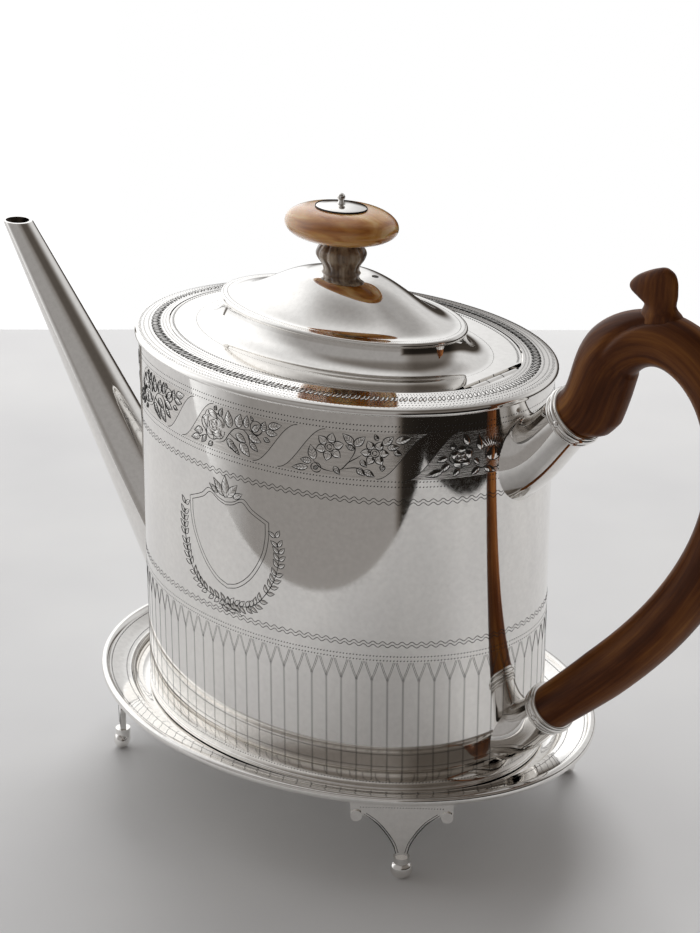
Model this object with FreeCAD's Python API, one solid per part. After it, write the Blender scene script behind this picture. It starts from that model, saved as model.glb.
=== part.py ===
"""Oval silver teapot on its matching four-footed stand, one solid per piece, in millimetres.

+Z is up, +X points to the handle, -X to the spout and -Y to the engraved front.
The origin is on the table, under the middle of the whole object.
Every oval is an ellipse, and a moulding keeps its width all round: its section is a row of
(inset, height) points, where the inset is measured inwards from a named oval.
"""
import FreeCAD, Part
import math
import os
from FreeCAD import Vector

# Drum of the pot
BODY_LONG = 135.0
BODY_WIDE = 98.4
WALL = 1.0
WALL_TOP = 136.0
BASE_PLATE = 1.0
BASE_RECESS = 1.0
BASE_WIRE_PROUD = 0.45
BASE_WIRE_HEIGHT = 1.3

# Shoulder, mouth and lid seat
SHOULDER_PLATE = 1.0
SHOULDER_RISE = 2.2
LIP_PROUD = 1.1
LIP_HEIGHT = 2.1
MOUTH_INSET = 9.2
SEAT_LAND = 2.0
SEAT_LAP = 1.8
SEAT_PLATE = 1.0

# Lid
LID_SHEET = 1.0
LID_GAP = 0.35
LID_REST_GAP = 0.3
COVE_FOOT_INSET = 18.6
COVE_WIDTH = 7.2
COVE_HEIGHT = 7.0
LEDGE_WIDTH = 2.0
LEDGE_LIP = 0.6
LEDGE_THICK = 1.6
DOME_HEIGHT = 12.8
BEZEL_DEPTH = 3.4
BEZEL_SHEET = 0.9
VENT_BORE = 2.2
VENT_X = 10.6

# Lid hinge
HINGE_LENGTH = 20.0
HINGE_RADIUS = 1.6
HINGE_PIN_RADIUS = 0.7
HINGE_SETBACK = 2.7
HINGE_LEAF = 0.8
HINGE_LEAF_REACH = 7.0
KNUCKLE_GAP = 0.3
TONGUE_SET = 0.12
HINGE_SOLDER = 0.1

# Finial
STEM_FOOT_LONG = 11.6
STEM_BULGE_LONG = 14.0
STEM_WAIST_LONG = 9.4
STEM_HEIGHT = 7.6
STEM_ASPECT = 0.84
STEM_TOP_SHARE = 0.8
KNOB_LONG = 36.4
KNOB_WIDE = 27.0
KNOB_HEIGHT = 9.0
CAP_LONG = 16.4
CAP_HEIGHT = 1.2
BOLT_RADIUS = 1.0
BUTTON_RADIUS = 1.15
WASHER_RADIUS = 4.2
WASHER_THICK = 0.8
NUT_FLATS = 5.0
NUT_HEIGHT = 2.4
BOLT_TAIL = 1.0

# Spout
SPOUT_REACH = 146.5
SPOUT_MOUTH_Z = 147.8
SPOUT_WALL_Z = 49.0
SPOUT_MOUTH_DEEP = 8.6
SPOUT_MOUTH_WIDE = 8.8
SPOUT_FOOT_DEEP = 27.0
SPOUT_FOOT_WIDE = 23.0
SPOUT_SHEET = 0.9
STRAINER_BORE = 3.0
STRAINER_PITCH = 5.5
STRAINER_ROWS = 5
STRAINER_DRILL = 12.0

# Handle and its two sockets
HANDLE_REACH = 140.0
HANDLE_DEEP = 14.6
HANDLE_WIDE = 11.6
HANDLE_SWELL = 2.6
ARCH_OUT = 24.0
ARCH_Z = 162.2
BACK_Z = 134.0
ELBOW_OUT = 39.5
ELBOW_Z = 91.0
UPPER_MOUTH_OUT = 17.0
UPPER_MOUTH_Z = 136.4
UPPER_TILT = 42.6
UPPER_MOUTH_RADIUS = 7.6
UPPER_PLATE_WIDE = 23.0
UPPER_PLATE_HIGH = 30.0
UPPER_PLATE_Z = 118.6
LOWER_MOUTH_OUT = 12.5
LOWER_MOUTH_Z = 46.8
LOWER_TILT = 44.0
LOWER_MOUTH_RADIUS = 6.6
LOWER_PLATE_WIDE = 25.0
LOWER_PLATE_HIGH = 22.0
LOWER_PLATE_Z = 34.0
PLATE_SET = 4.0
FLARE_LAP = 0.6
FLARE_STEP = 0.12
FLARE_POWER = 2.2
FLARE_STATIONS = (0, 0.25, 0.5, 0.75, 0.9, 1)
SOCKET_SHEET = 1.0
SOCKET_SLEEVE = 4.4
COLLAR_PROUD = 1.2
COLLAR_BEADS = 3
TENON_DEPTH = 9.0
TENON_FIT = 0.05
HANDLE_PIN_RADIUS = 1.1
THUMB_TIP_OUT = 0.1
THUMB_TIP_Z = 181.2
THUMB_LONG = 13.6
THUMB_WIDE = 8.4

# Stand
STAND_LONG = 168.0
STAND_WIDE = 127.0
STAND_FLOOR = 21.4
STAND_SHEET = 1.1
STAND_RIM_Z = 28.2
STAND_REST_GAP = 0.3
RIM_WIRE_WIDE = 2.6
RIM_WIRE_HIGH = 2.4
BORDER_WIDE = 7.4
BORDER_DROP = 1.7
STAND_COVE_WIDE = 5.2
FLOOR_MARGIN = 1.3
FOOT_ANGLE = 43.0
FOOT_INSET = 6.6
FOOT_BRACKET_WIDE = 29.0
FOOT_PLATE = 1.8
FOOT_NECK_WIDE = 3.4
FOOT_NECK_Z = 6.6
FOOT_WING_DROP = 4.2
VOLUTE_RADIUS = 1.7
BALL_WIDE = 6.4
BALL_THICK = 5.0
BALL_HIGH = 5.6
BALL_OUT = 1.4
FOOT_FLAT = 0.35
FOOT_COLLAR_RADIUS = 2.3

# The sockets' mouths, the arch, the elbow and the thumb-piece follow the drum
UPPER_MOUTH_X = BODY_LONG / 2 + UPPER_MOUTH_OUT
LOWER_MOUTH_X = BODY_LONG / 2 + LOWER_MOUTH_OUT
ARCH_X = UPPER_MOUTH_X + ARCH_OUT
ELBOW_X = LOWER_MOUTH_X + ELBOW_OUT
THUMB_TIP_X = ARCH_X + THUMB_TIP_OUT

# The pot's axis stands off the origin by half the difference of the two reaches
BODY_X = (SPOUT_REACH - HANDLE_REACH) / 2
CURVE_STEPS = 5


def at(x, y, z):
    """A point measured from the pot's own axis."""
    return Vector(BODY_X + x, y, z)


def ellipse_edge(long_half, wide_half, z):
    """Closed oval edge round the pot's axis at height z."""
    if abs(long_half - wide_half) < 1e-6:
        return Part.Circle(at(0, 0, z), Vector(0, 0, 1), long_half).toShape()
    return Part.Ellipse(at(0, 0, z), long_half, wide_half).toShape()


def oval_wire(centre, tip, side):
    """Oval with those two half-axes, always started at the tip so that lofts don't twist."""
    if tip.Length >= side.Length + 1e-6:
        return Part.Wire([Part.Ellipse(centre + tip, centre + side, centre).toShape()])
    if side.Length >= tip.Length + 1e-6:
        turned_oval = Part.Ellipse(centre + side, centre - tip, centre)
        return Part.Wire([turned_oval.toShape(-math.pi / 2, 3 * math.pi / 2)])
    return oval_wire(centre, tip * 1.0001, side)


def oval_solid(loop):
    """Ring whose section is the closed loop of (long half, wide half, height) points."""
    edges = [ellipse_edge(*point) for point in loop]
    after = edges[1:] + edges[:1]
    faces = [Part.makeRuledSurface(low, high) for low, high in zip(edges, after)]
    shell = Part.makeShell(faces)
    shell.sewShape()
    solid = Part.Solid(shell)
    if solid.Volume < 0:
        solid.reverse()
    return solid


def moulding(long_size, wide_size, section):
    """Ring of constant width round the oval of that size, from (inset, height) points."""
    return oval_solid([(long_size / 2 - inset, wide_size / 2 - inset, z) for inset, z in section])


def body_moulding(section):
    """Ring of constant width measured inwards from the outside of the drum."""
    return moulding(BODY_LONG, BODY_WIDE, section)


def oval_plug(long_size, wide_size, low, high):
    """Solid oval block between two heights."""
    face = Part.Face(Part.Wire([ellipse_edge(long_size / 2, wide_size / 2, low)]))
    return face.extrude(Vector(0, 0, high - low))


def block(x0, x1, y0, y1, z0, z1):
    """Box between two corners measured from the pot's axis."""
    return Part.makeBox(x1 - x0, y1 - y0, z1 - z0, at(x0, y0, z0))


def rod_y(x, z, radius, y0, y1):
    """Round rod along Y."""
    return Part.makeCylinder(radius, y1 - y0, at(x, y0, z), Vector(0, 1, 0))


def quarter(start, end):
    """Hollow quarter-ellipse of (inset, height) points, level at the start and upright at the end."""
    run = end[0] - start[0]
    rise = end[1] - start[1]
    turns = [math.pi / 2 * i / CURVE_STEPS for i in range(CURVE_STEPS + 1)]
    return [(start[0] + run * math.sin(turn), start[1] + rise * (1 - math.cos(turn))) for turn in turns]


def save(name, shape):
    """Write one node, as a compound when it is a group of separate solids."""
    shape.exportStep("parts/" + name + ".step")


# Heights and insets that several pieces share
WALL_FOOT = STAND_FLOOR + STAND_REST_GAP
SHOULDER_TOP = WALL_TOP + LIP_HEIGHT + SHOULDER_RISE - SHOULDER_PLATE
SHOULDER_UNDER = SHOULDER_TOP - SHOULDER_PLATE
LID_TOP = SHOULDER_TOP
LID_UNDER = LID_TOP - LID_SHEET
SEAT_TOP = LID_UNDER - LID_REST_GAP
LID_EDGE_INSET = MOUTH_INSET + LID_GAP
BODY_END = BODY_LONG / 2
HINGE_X = BODY_END - MOUTH_INSET - HINGE_SETBACK
HINGE_Z = LID_TOP - HINGE_RADIUS
HINGE_CLEAR = HINGE_RADIUS + LID_GAP
COVE_TOP = LID_TOP + COVE_HEIGHT
LEDGE_TOP = COVE_TOP + LEDGE_THICK
DOME_TOP = LEDGE_TOP + DOME_HEIGHT
STEM_TOP = DOME_TOP + STEM_HEIGHT
KNOB_TOP = STEM_TOP + KNOB_HEIGHT
CAP_TOP = KNOB_TOP + CAP_HEIGHT
STAND_RIM = STAND_RIM_Z - RIM_WIRE_HIGH / 2

# Rim wire, border and cove fill the way from the stand's edge to its floor in proportion to their widths
STAND_WAY = RIM_WIRE_WIDE + BORDER_WIDE + STAND_COVE_WIDE
RIM_SHARE = RIM_WIRE_WIDE / STAND_WAY
BORDER_SHARE = (RIM_WIRE_WIDE + BORDER_WIDE) / STAND_WAY


def body_wall():
    """Open drum, pierced with strainer holes behind the spout."""
    wall = body_moulding([(0, WALL_FOOT), (0, WALL_TOP), (WALL, WALL_TOP), (WALL, WALL_FOOT)])
    middle = (STRAINER_ROWS - 1) / 2
    row_pitch = STRAINER_PITCH * math.sin(math.radians(60))
    holes = []
    for row in range(STRAINER_ROWS):
        count = STRAINER_ROWS - abs(int(row - middle))
        z = SPOUT_WALL_Z + (row - middle) * row_pitch
        for place in range(count):
            start = at(-BODY_END - STRAINER_DRILL / 2, (place - (count - 1) / 2) * STRAINER_PITCH, z)
            holes.append(Part.makeCylinder(STRAINER_BORE / 2, STRAINER_DRILL, start, Vector(1, 0, 0)))
    return wall.cut(Part.makeCompound(holes))


def base_plate():
    """Flat bottom let into the drum a little above its foot."""
    low = WALL_FOOT + BASE_RECESS
    return oval_plug(BODY_LONG - 2 * WALL, BODY_WIDE - 2 * WALL, low, low + BASE_PLATE)


def base_wire():
    """Half-round wire round the foot of the drum."""
    foot = WALL_FOOT
    top = foot + BASE_WIRE_HEIGHT
    proud = -BASE_WIRE_PROUD
    return body_moulding([
        (0, foot), (proud * 0.7, foot), (proud, foot + BASE_WIRE_HEIGHT * 0.3),
        (proud, foot + BASE_WIRE_HEIGHT * 0.6), (proud * 0.6, top - BASE_WIRE_HEIGHT * 0.1), (0, top)])


def shoulder():
    """Top plate with a rounded lip, rising gently to the oval mouth."""
    lip_top = WALL_TOP + LIP_HEIGHT
    plate = WALL + SHOULDER_PLATE
    ring = body_moulding([
        (WALL, WALL_TOP), (-LIP_PROUD * 0.8, WALL_TOP), (-LIP_PROUD, WALL_TOP + LIP_HEIGHT * 0.3),
        (-LIP_PROUD * 0.9, lip_top - LIP_HEIGHT * 0.25), (-LIP_PROUD * 0.3, lip_top),
        (MOUTH_INSET, SHOULDER_TOP), (MOUTH_INSET, SHOULDER_UNDER), (plate, lip_top - SHOULDER_PLATE)])
    return ring.fuse(hinge_tongue()).cut(hinge_notch()).removeSplitter()


def hinge_tongue():
    """Plate that fills the mouth behind the hinge's axis."""
    inset = 2 * MOUTH_INSET - SHOULDER_PLATE
    low = SHOULDER_UNDER + TONGUE_SET
    high = SHOULDER_TOP - TONGUE_SET
    plug = oval_plug(BODY_LONG - inset, BODY_WIDE - inset, low, high)
    return plug.common(block(HINGE_X, BODY_END, -BODY_WIDE, BODY_WIDE, low, high))


def hinge_notch():
    """Room for the barrels in the tongue and the mouth's edge."""
    half = HINGE_LENGTH / 2 + KNUCKLE_GAP
    back = HINGE_X + HINGE_RADIUS + TENON_FIT
    return block(HINGE_X - HINGE_CLEAR, back, -half, half, WALL_TOP, SHOULDER_TOP)


def hinge_well():
    """Room that the hinge needs through the seat and the bezel."""
    reach = HINGE_LEAF_REACH + 2 * HINGE_CLEAR
    half = HINGE_LENGTH / 2 + HINGE_CLEAR
    return block(HINGE_X - reach, BODY_END, -half, half, WALL_TOP - BODY_WIDE, WALL_TOP + BODY_WIDE)


def lid_seat():
    """Ring soldered under the mouth, with a land that the lid rests over."""
    inner = MOUTH_INSET + SEAT_LAND
    outer = MOUTH_INSET - SEAT_LAP
    slope = (SHOULDER_RISE - SHOULDER_PLATE) / (MOUTH_INSET - WALL - SHOULDER_PLATE)
    fall = SEAT_LAP * max(slope, 0)
    low = SEAT_TOP - SEAT_PLATE - fall
    ring = body_moulding([
        (outer, SHOULDER_UNDER - fall), (MOUTH_INSET, SHOULDER_UNDER), (MOUTH_INSET, SEAT_TOP),
        (inner, SEAT_TOP), (inner, low), (outer, low)])
    return ring.cut(hinge_well())


def dome_loop(lower):
    """Half-sizes and heights of the ogee dome from the ledge to its top, moved down by lower."""
    start_long = BODY_LONG / 2 - COVE_FOOT_INSET - COVE_WIDTH - LEDGE_WIDTH
    start_wide = BODY_WIDE / 2 - COVE_FOOT_INSET - COVE_WIDTH - LEDGE_WIDTH
    end_long = STEM_FOOT_LONG / 2 + 2 * LID_SHEET
    end_wide = STEM_FOOT_LONG * STEM_ASPECT / 2 + 2 * LID_SHEET
    loop = []
    for i in range(2 * CURVE_STEPS + 1):
        share = i / (2 * CURVE_STEPS)
        swing = min(max((share - 0.08) / 0.84, 0), 1)
        rise = DOME_HEIGHT * swing * swing * (3 - 2 * swing)
        loop.append((start_long + (end_long - start_long) * share,
                     start_wide + (end_wide - start_wide) * share,
                     LEDGE_TOP + rise - lower))
    return loop


def lid():
    """Flange, cove, ledge and ogee dome raised from one sheet, cut straight at the hinge."""
    cove_end = COVE_FOOT_INSET + COVE_WIDTH
    top = [(LID_EDGE_INSET, LID_UNDER), (LID_EDGE_INSET, LID_TOP)]
    top += quarter((COVE_FOOT_INSET, LID_TOP), (cove_end, COVE_TOP))
    top += [(cove_end - LEDGE_LIP, COVE_TOP), (cove_end - LEDGE_LIP, LEDGE_TOP)]
    under = quarter((COVE_FOOT_INSET + LID_SHEET, LID_UNDER), (cove_end + LID_SHEET, COVE_TOP))
    under.reverse()
    half_long = BODY_LONG / 2
    half_wide = BODY_WIDE / 2
    outside = [(half_long - inset, half_wide - inset, z) for inset, z in top] + dome_loop(0)
    bore = BOLT_RADIUS + TENON_FIT
    hole = [(bore, bore, DOME_TOP), (bore, bore, DOME_TOP - LID_SHEET)]
    inside = dome_loop(LID_SHEET)[::-1]
    inside += [(half_long - inset, half_wide - inset, z) for inset, z in under[1:]]
    shell = oval_solid(outside + hole + inside)
    tail = block(HINGE_X - HINGE_CLEAR, BODY_LONG, -BODY_WIDE, BODY_WIDE, 0, DOME_TOP)
    vent = Part.makeCylinder(VENT_BORE / 2, BODY_WIDE, at(VENT_X, 0, LEDGE_TOP))
    return shell.cut(tail).cut(vent)


def lid_bezel():
    """Short upright ring under the lid that keeps it central in the seat."""
    outer = MOUTH_INSET + SEAT_LAND + LID_GAP
    inner = outer + BEZEL_SHEET
    low = LID_UNDER - BEZEL_DEPTH
    ring = body_moulding([(outer, low), (outer, LID_UNDER), (inner, LID_UNDER), (inner, low)])
    return ring.cut(hinge_well())


def knuckle(y0, y1):
    """One barrel of the hinge with its pin hole."""
    barrel = rod_y(HINGE_X, HINGE_Z, HINGE_RADIUS, y0, y1)
    return barrel.cut(rod_y(HINGE_X, HINGE_Z, HINGE_PIN_RADIUS + TENON_FIT, y0, y1))


def body_hinge_knuckles():
    """Two outer barrels, each on a leaf that turns up to the underside of the shoulder."""
    third = HINGE_LENGTH / 6
    low = HINGE_Z - HINGE_RADIUS
    leaf_top = low + HINGE_LEAF
    riser_x = BODY_END - MOUTH_INSET + HINGE_LEAF
    pieces = []
    for side in (-1, 1):
        y0, y1 = sorted((side * third, side * HINGE_LENGTH / 2))
        leaf = block(HINGE_X, riser_x + HINGE_LEAF, y0, y1, low, leaf_top)
        plate = shoulder()
        plate.translate(Vector(0, 0, -HINGE_SOLDER))
        riser = block(riser_x, riser_x + HINGE_LEAF, y0, y1, low, SHOULDER_TOP).cut(plate)
        riser = min(riser.Solids, key=lambda solid: solid.BoundBox.ZMin)
        barrel = knuckle(y0, y1).fuse([leaf, riser])
        pin_way = rod_y(HINGE_X, HINGE_Z, HINGE_PIN_RADIUS + TENON_FIT, y0, y1)
        pieces.append(barrel.cut(pin_way).removeSplitter())
    return Part.makeCompound([solid for piece in pieces for solid in piece.Solids])


def hinge_pin():
    """Pin through all three barrels."""
    return rod_y(HINGE_X, HINGE_Z, HINGE_PIN_RADIUS, -HINGE_LENGTH / 2, HINGE_LENGTH / 2)


def lid_hinge_knuckle():
    """Middle barrel on a leaf soldered under the lid's flange."""
    half = HINGE_LENGTH / 6 - KNUCKLE_GAP
    barrel = knuckle(-half, half)
    start = HINGE_X - HINGE_CLEAR - HINGE_LEAF_REACH
    leaf = block(start, HINGE_X, -half, half, LID_UNDER - HINGE_LEAF, LID_UNDER)
    pin_way = rod_y(HINGE_X, HINGE_Z, HINGE_PIN_RADIUS + TENON_FIT, -half, half)
    return barrel.fuse(leaf).cut(pin_way).removeSplitter()


def finial_stem():
    """Horn baluster, oval in plan, bored for the bolt."""
    profile = [
        (STEM_FOOT_LONG, 0.0), (STEM_FOOT_LONG * 0.95, 0.16), (STEM_WAIST_LONG, 0.3),
        (STEM_WAIST_LONG, 0.4), (STEM_BULGE_LONG * 0.94, 0.58), (STEM_BULGE_LONG, 0.7),
        (STEM_BULGE_LONG * 0.94, 0.84), (STEM_BULGE_LONG * STEM_TOP_SHARE, 1.0)]
    outside = []
    for size, share in profile:
        outside.append((size / 2, size * STEM_ASPECT / 2, DOME_TOP + share * STEM_HEIGHT))
    bore = BOLT_RADIUS + TENON_FIT
    return oval_solid(outside + [(bore, bore, STEM_TOP), (bore, bore, DOME_TOP)])


def finial_knob():
    """Oval mushroom knob: half-sizes follow a rounded bun from its foot to the cap seat."""
    foot = STEM_BULGE_LONG * STEM_TOP_SHARE
    outside = []
    steps = 2 * CURVE_STEPS
    for i in range(steps + 1):
        turn = math.pi * i / steps
        swell = math.sin(turn) ** 0.62
        outside.append((foot / 2 + (KNOB_LONG - foot) / 2 * swell,
                        foot * STEM_ASPECT / 2 + (KNOB_WIDE - foot * STEM_ASPECT) / 2 * swell,
                        STEM_TOP + KNOB_HEIGHT * (1 - math.cos(turn)) / 2))
    bore = BOLT_RADIUS + TENON_FIT
    return oval_solid(outside + [(bore, bore, KNOB_TOP), (bore, bore, STEM_TOP)])


def finial_cap():
    """Thin silver cap on the knob, slightly domed."""
    half_long = CAP_LONG / 2
    half_wide = CAP_LONG * KNOB_WIDE / KNOB_LONG / 2
    bore = BOLT_RADIUS + TENON_FIT
    button = BUTTON_RADIUS + TENON_FIT
    return oval_solid([
        (half_long, half_wide, KNOB_TOP), (half_long, half_wide, KNOB_TOP + CAP_HEIGHT * 0.3),
        (half_long * 0.7, half_wide * 0.7, KNOB_TOP + CAP_HEIGHT * 0.8), (button, button, CAP_TOP),
        (bore, bore, CAP_TOP), (bore, bore, KNOB_TOP)])


def finial_bolt():
    """Bolt with a ball head, down through the knob, stem and lid into the nut."""
    low = DOME_TOP - LID_SHEET - WASHER_THICK - NUT_HEIGHT - BOLT_TAIL
    shank = Part.makeCylinder(BOLT_RADIUS, CAP_TOP - low, at(0, 0, low))
    neck = Part.makeCone(BUTTON_RADIUS, BUTTON_RADIUS * 0.55, BUTTON_RADIUS, at(0, 0, CAP_TOP))
    ball = Part.makeSphere(BUTTON_RADIUS, at(0, 0, CAP_TOP + 1.6 * BUTTON_RADIUS))
    return shank.fuse([neck, ball]).removeSplitter()


def finial_washer():
    """Round washer under the dome."""
    low = DOME_TOP - LID_SHEET - WASHER_THICK
    disc = Part.makeCylinder(WASHER_RADIUS, WASHER_THICK, at(0, 0, low))
    return disc.cut(Part.makeCylinder(BOLT_RADIUS + TENON_FIT, WASHER_THICK, at(0, 0, low)))


def finial_nut():
    """Hexagon nut under the washer."""
    low = DOME_TOP - LID_SHEET - WASHER_THICK - NUT_HEIGHT
    corner = NUT_FLATS / math.sqrt(3)
    turns = [math.pi * i / 3 for i in range(7)]
    points = [at(corner * math.cos(turn), corner * math.sin(turn), low) for turn in turns]
    hexagon = Part.Face(Part.makePolygon(points)).extrude(Vector(0, 0, NUT_HEIGHT))
    return hexagon.cut(Part.makeCylinder(BOLT_RADIUS + TENON_FIT, NUT_HEIGHT, at(0, 0, low)))


def spout_mouth_x():
    """Middle of the spout's mouth, so that its lip just reaches SPOUT_REACH.

    With half the mouth's depth q, rise H and reach L beyond the drum, the run u of the axis obeys
    L - u = q / sin(slope) = (q / H) hypot(H, u), a quadratic in u.
    """
    reach = SPOUT_REACH - BODY_END
    rise = SPOUT_MOUTH_Z - SPOUT_WALL_Z
    ratio = SPOUT_MOUTH_DEEP / 2 / rise
    rest = 1 - ratio ** 2
    return -BODY_END - (reach - ratio * math.hypot(reach, rise * math.sqrt(rest))) / rest


def spout_slope():
    """Angle of the spout's axis to the table."""
    return math.atan2(SPOUT_MOUTH_Z - SPOUT_WALL_Z, -BODY_END - spout_mouth_x())


def spout_section(x, z, deep, wide):
    """Oval across the spout's axis; deep lies in the plane of the handle and spout."""
    slope = spout_slope()
    across = Vector(math.sin(slope), 0, math.cos(slope))
    return oval_wire(at(x, 0, z), across * (deep / 2), Vector(0, wide / 2, 0))


def spout_cone(thinner):
    """Tapered oval cone along the spout's axis, beyond both its ends, thinner by a sheet."""
    slope = spout_slope()
    run_x = math.cos(slope)
    run_z = -math.sin(slope)
    length = (-BODY_END - spout_mouth_x()) / run_x
    wires = []
    for along in (-SPOUT_MOUTH_DEEP, length + SPOUT_FOOT_DEEP):
        share = along / length
        deep = SPOUT_MOUTH_DEEP + (SPOUT_FOOT_DEEP - SPOUT_MOUTH_DEEP) * share - 2 * thinner
        wide = SPOUT_MOUTH_WIDE + (SPOUT_FOOT_WIDE - SPOUT_MOUTH_WIDE) * share - 2 * thinner
        x = spout_mouth_x() + run_x * along
        wires.append(spout_section(x, SPOUT_MOUTH_Z + run_z * along, deep, wide))
    return Part.makeLoft(wires, True, True)


def spout():
    """Hollow tapered spout, cut level at its mouth and fitted to the drum."""
    tube = spout_cone(0).cut(spout_cone(SPOUT_SHEET))
    drum = oval_plug(BODY_LONG, BODY_WIDE, 0, WALL_TOP)
    above = block(-2 * SPOUT_REACH, 0, -BODY_WIDE, BODY_WIDE, SPOUT_MOUTH_Z, 2 * SPOUT_MOUTH_Z)
    pieces = tube.cut(drum).cut(above).Solids
    return min(pieces, key=lambda solid: solid.BoundBox.XMin)


def socket_frame(mouth_x, mouth_z, tilt):
    """Mouth centre and outward axis."""
    axis = Vector(math.cos(math.radians(tilt)), 0, math.sin(math.radians(tilt)))
    return at(mouth_x, 0, mouth_z), axis


def turned(profile, mouth, axis):
    """Solid of revolution round a socket's axis from (radius, distance beyond the mouth) edges."""
    solid = Part.Face(Part.Wire(profile)).revolve(Vector(0, 0, 0), Vector(0, 0, 1), 360)
    solid.Placement = FreeCAD.Placement(mouth, FreeCAD.Rotation(Vector(0, 0, 1), axis))
    return solid


def socket_flare(start, axis, radius, plate):
    """Trumpet from the sleeve's round end, turning level, to an oval plate in the drum's wall."""
    wide, high, level = plate
    foot = at(BODY_END - PLATE_SET, 0, level)
    level_axis = Vector(1, 0, 0)
    reach = (foot - start).Length
    wires = []
    for share in FLARE_STATIONS:
        blend = share ** 2 * (3 - 2 * share)
        leave = -axis * reach * share * (1 - share) ** 2
        arrive = level_axis * reach * share ** 2 * (1 - share)
        centre = start * (1 - blend) + foot * blend + leave + arrive
        along = axis * (1 - blend) + level_axis * blend
        up = along.cross(Vector(0, 1, 0))
        up.normalize()
        grow = share ** FLARE_POWER
        tip = up * (radius + (high / 2 - radius) * grow)
        wires.append(oval_wire(centre, tip, Vector(0, radius + (wide / 2 - radius) * grow, 0)))
    return Part.makeLoft(wires, True, False)


def socket(mouth_x, mouth_z, tilt, mouth_radius, plate):
    """Flared socket seated on the drum, bored for the handle's tenon and its pin."""
    mouth, axis = socket_frame(mouth_x, mouth_z, tilt)
    start = mouth - axis * SOCKET_SLEEVE
    sleeve = Part.makeCylinder(mouth_radius, SOCKET_SLEEVE, start, axis)
    solid = socket_flare(start + axis * FLARE_LAP, axis, mouth_radius - FLARE_STEP, plate).fuse(sleeve)
    drum = oval_plug(BODY_LONG, BODY_WIDE, 0, WALL_TOP)
    bore = Part.makeCylinder(mouth_radius - SOCKET_SHEET, TENON_DEPTH, mouth - axis * TENON_DEPTH, axis)
    pin = pin_rod(mouth, axis, mouth_radius, TENON_FIT)
    below = block(0, BODY_LONG, -BODY_WIDE, BODY_WIDE, 0, WALL_FOOT + BASE_WIRE_HEIGHT)
    return solid.cut(drum).cut(below).cut(bore).cut(pin).removeSplitter()


def pin_rod(mouth, axis, mouth_radius, extra):
    """Pin across a socket, in the middle of its sleeve."""
    middle = mouth - axis * (SOCKET_SLEEVE / 2)
    reach = mouth_radius + COLLAR_PROUD * 0.8
    start = middle - Vector(0, reach, 0)
    return Part.makeCylinder(HANDLE_PIN_RADIUS + extra, 2 * reach, start, Vector(0, 1, 0))


def socket_collar(mouth_x, mouth_z, tilt, mouth_radius):
    """Reeded ring of round beads round the mouth of a socket."""
    mouth, axis = socket_frame(mouth_x, mouth_z, tilt)
    bead = SOCKET_SLEEVE / COLLAR_BEADS
    edges = [Part.makeLine(Vector(mouth_radius, 0, -SOCKET_SLEEVE), Vector(mouth_radius, 0, 0))]
    neck = mouth_radius + COLLAR_PROUD * 0.45
    edges.append(Part.makeLine(Vector(mouth_radius, 0, 0), Vector(neck, 0, 0)))
    for i in range(COLLAR_BEADS):
        top = Vector(neck, 0, -i * bead)
        low = Vector(neck, 0, -(i + 1) * bead)
        crest = Vector(mouth_radius + COLLAR_PROUD, 0, -(i + 0.5) * bead)
        edges.append(Part.Arc(top, crest, low).toShape())
    edges.append(Part.makeLine(Vector(neck, 0, -SOCKET_SLEEVE), Vector(mouth_radius, 0, -SOCKET_SLEEVE)))
    ring = turned(edges, mouth, axis)
    return ring.cut(pin_rod(mouth, axis, mouth_radius, TENON_FIT))


def handle_line():
    """Centre line of the handle, from the upper socket's mouth to the lower one's."""
    upper, upper_axis = socket_frame(UPPER_MOUTH_X, UPPER_MOUTH_Z, UPPER_TILT)
    lower, lower_axis = socket_frame(LOWER_MOUTH_X, LOWER_MOUTH_Z, LOWER_TILT)
    run = ARCH_X - UPPER_MOUTH_X
    rise = at(UPPER_MOUTH_X + run * 0.38, 0, UPPER_MOUTH_Z + (ARCH_Z - UPPER_MOUTH_Z) * 0.7)
    back_x = HANDLE_REACH - HANDLE_DEEP / 2
    crown = at(ARCH_X + (back_x - ARCH_X) * 0.74, 0, ARCH_Z - (ARCH_Z - BACK_Z) * 0.34)
    arch = at(ARCH_X, 0, ARCH_Z)
    points = [upper, rise, arch, crown, at(back_x, 0, BACK_Z), at(ELBOW_X, 0, ELBOW_Z), lower]
    line = Part.BSplineCurve()
    line.interpolate(Points=points, InitialTangent=upper_axis, FinalTangent=-lower_axis, Scale=False)
    return line


def handle_section(line, share):
    """Oval section across the handle at a share of its length."""
    reach = line.LastParameter - line.FirstParameter
    spot = line.FirstParameter + reach * share
    centre = line.value(spot)
    along = Vector(*line.tangent(spot)[0])
    across = along.cross(Vector(0, 1, 0))
    across.normalize()
    near_end = max(0, 1 - min(share, 1 - share) / 0.12)
    end_radius = UPPER_MOUTH_RADIUS if share < 0.5 else LOWER_MOUTH_RADIUS
    swell = HANDLE_SWELL * math.exp(-((share - 0.1) / 0.06) ** 2)
    swell += HANDLE_SWELL * 0.6 * math.exp(-((share - 0.36) / 0.1) ** 2)
    deep = (HANDLE_DEEP + swell) * (1 - near_end) + 2 * end_radius * near_end
    wide = (HANDLE_WIDE + swell * 0.5) * (1 - near_end) + 2 * end_radius * near_end
    return oval_wire(centre, across * (deep / 2), Vector(0, wide / 2, 0))


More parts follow.
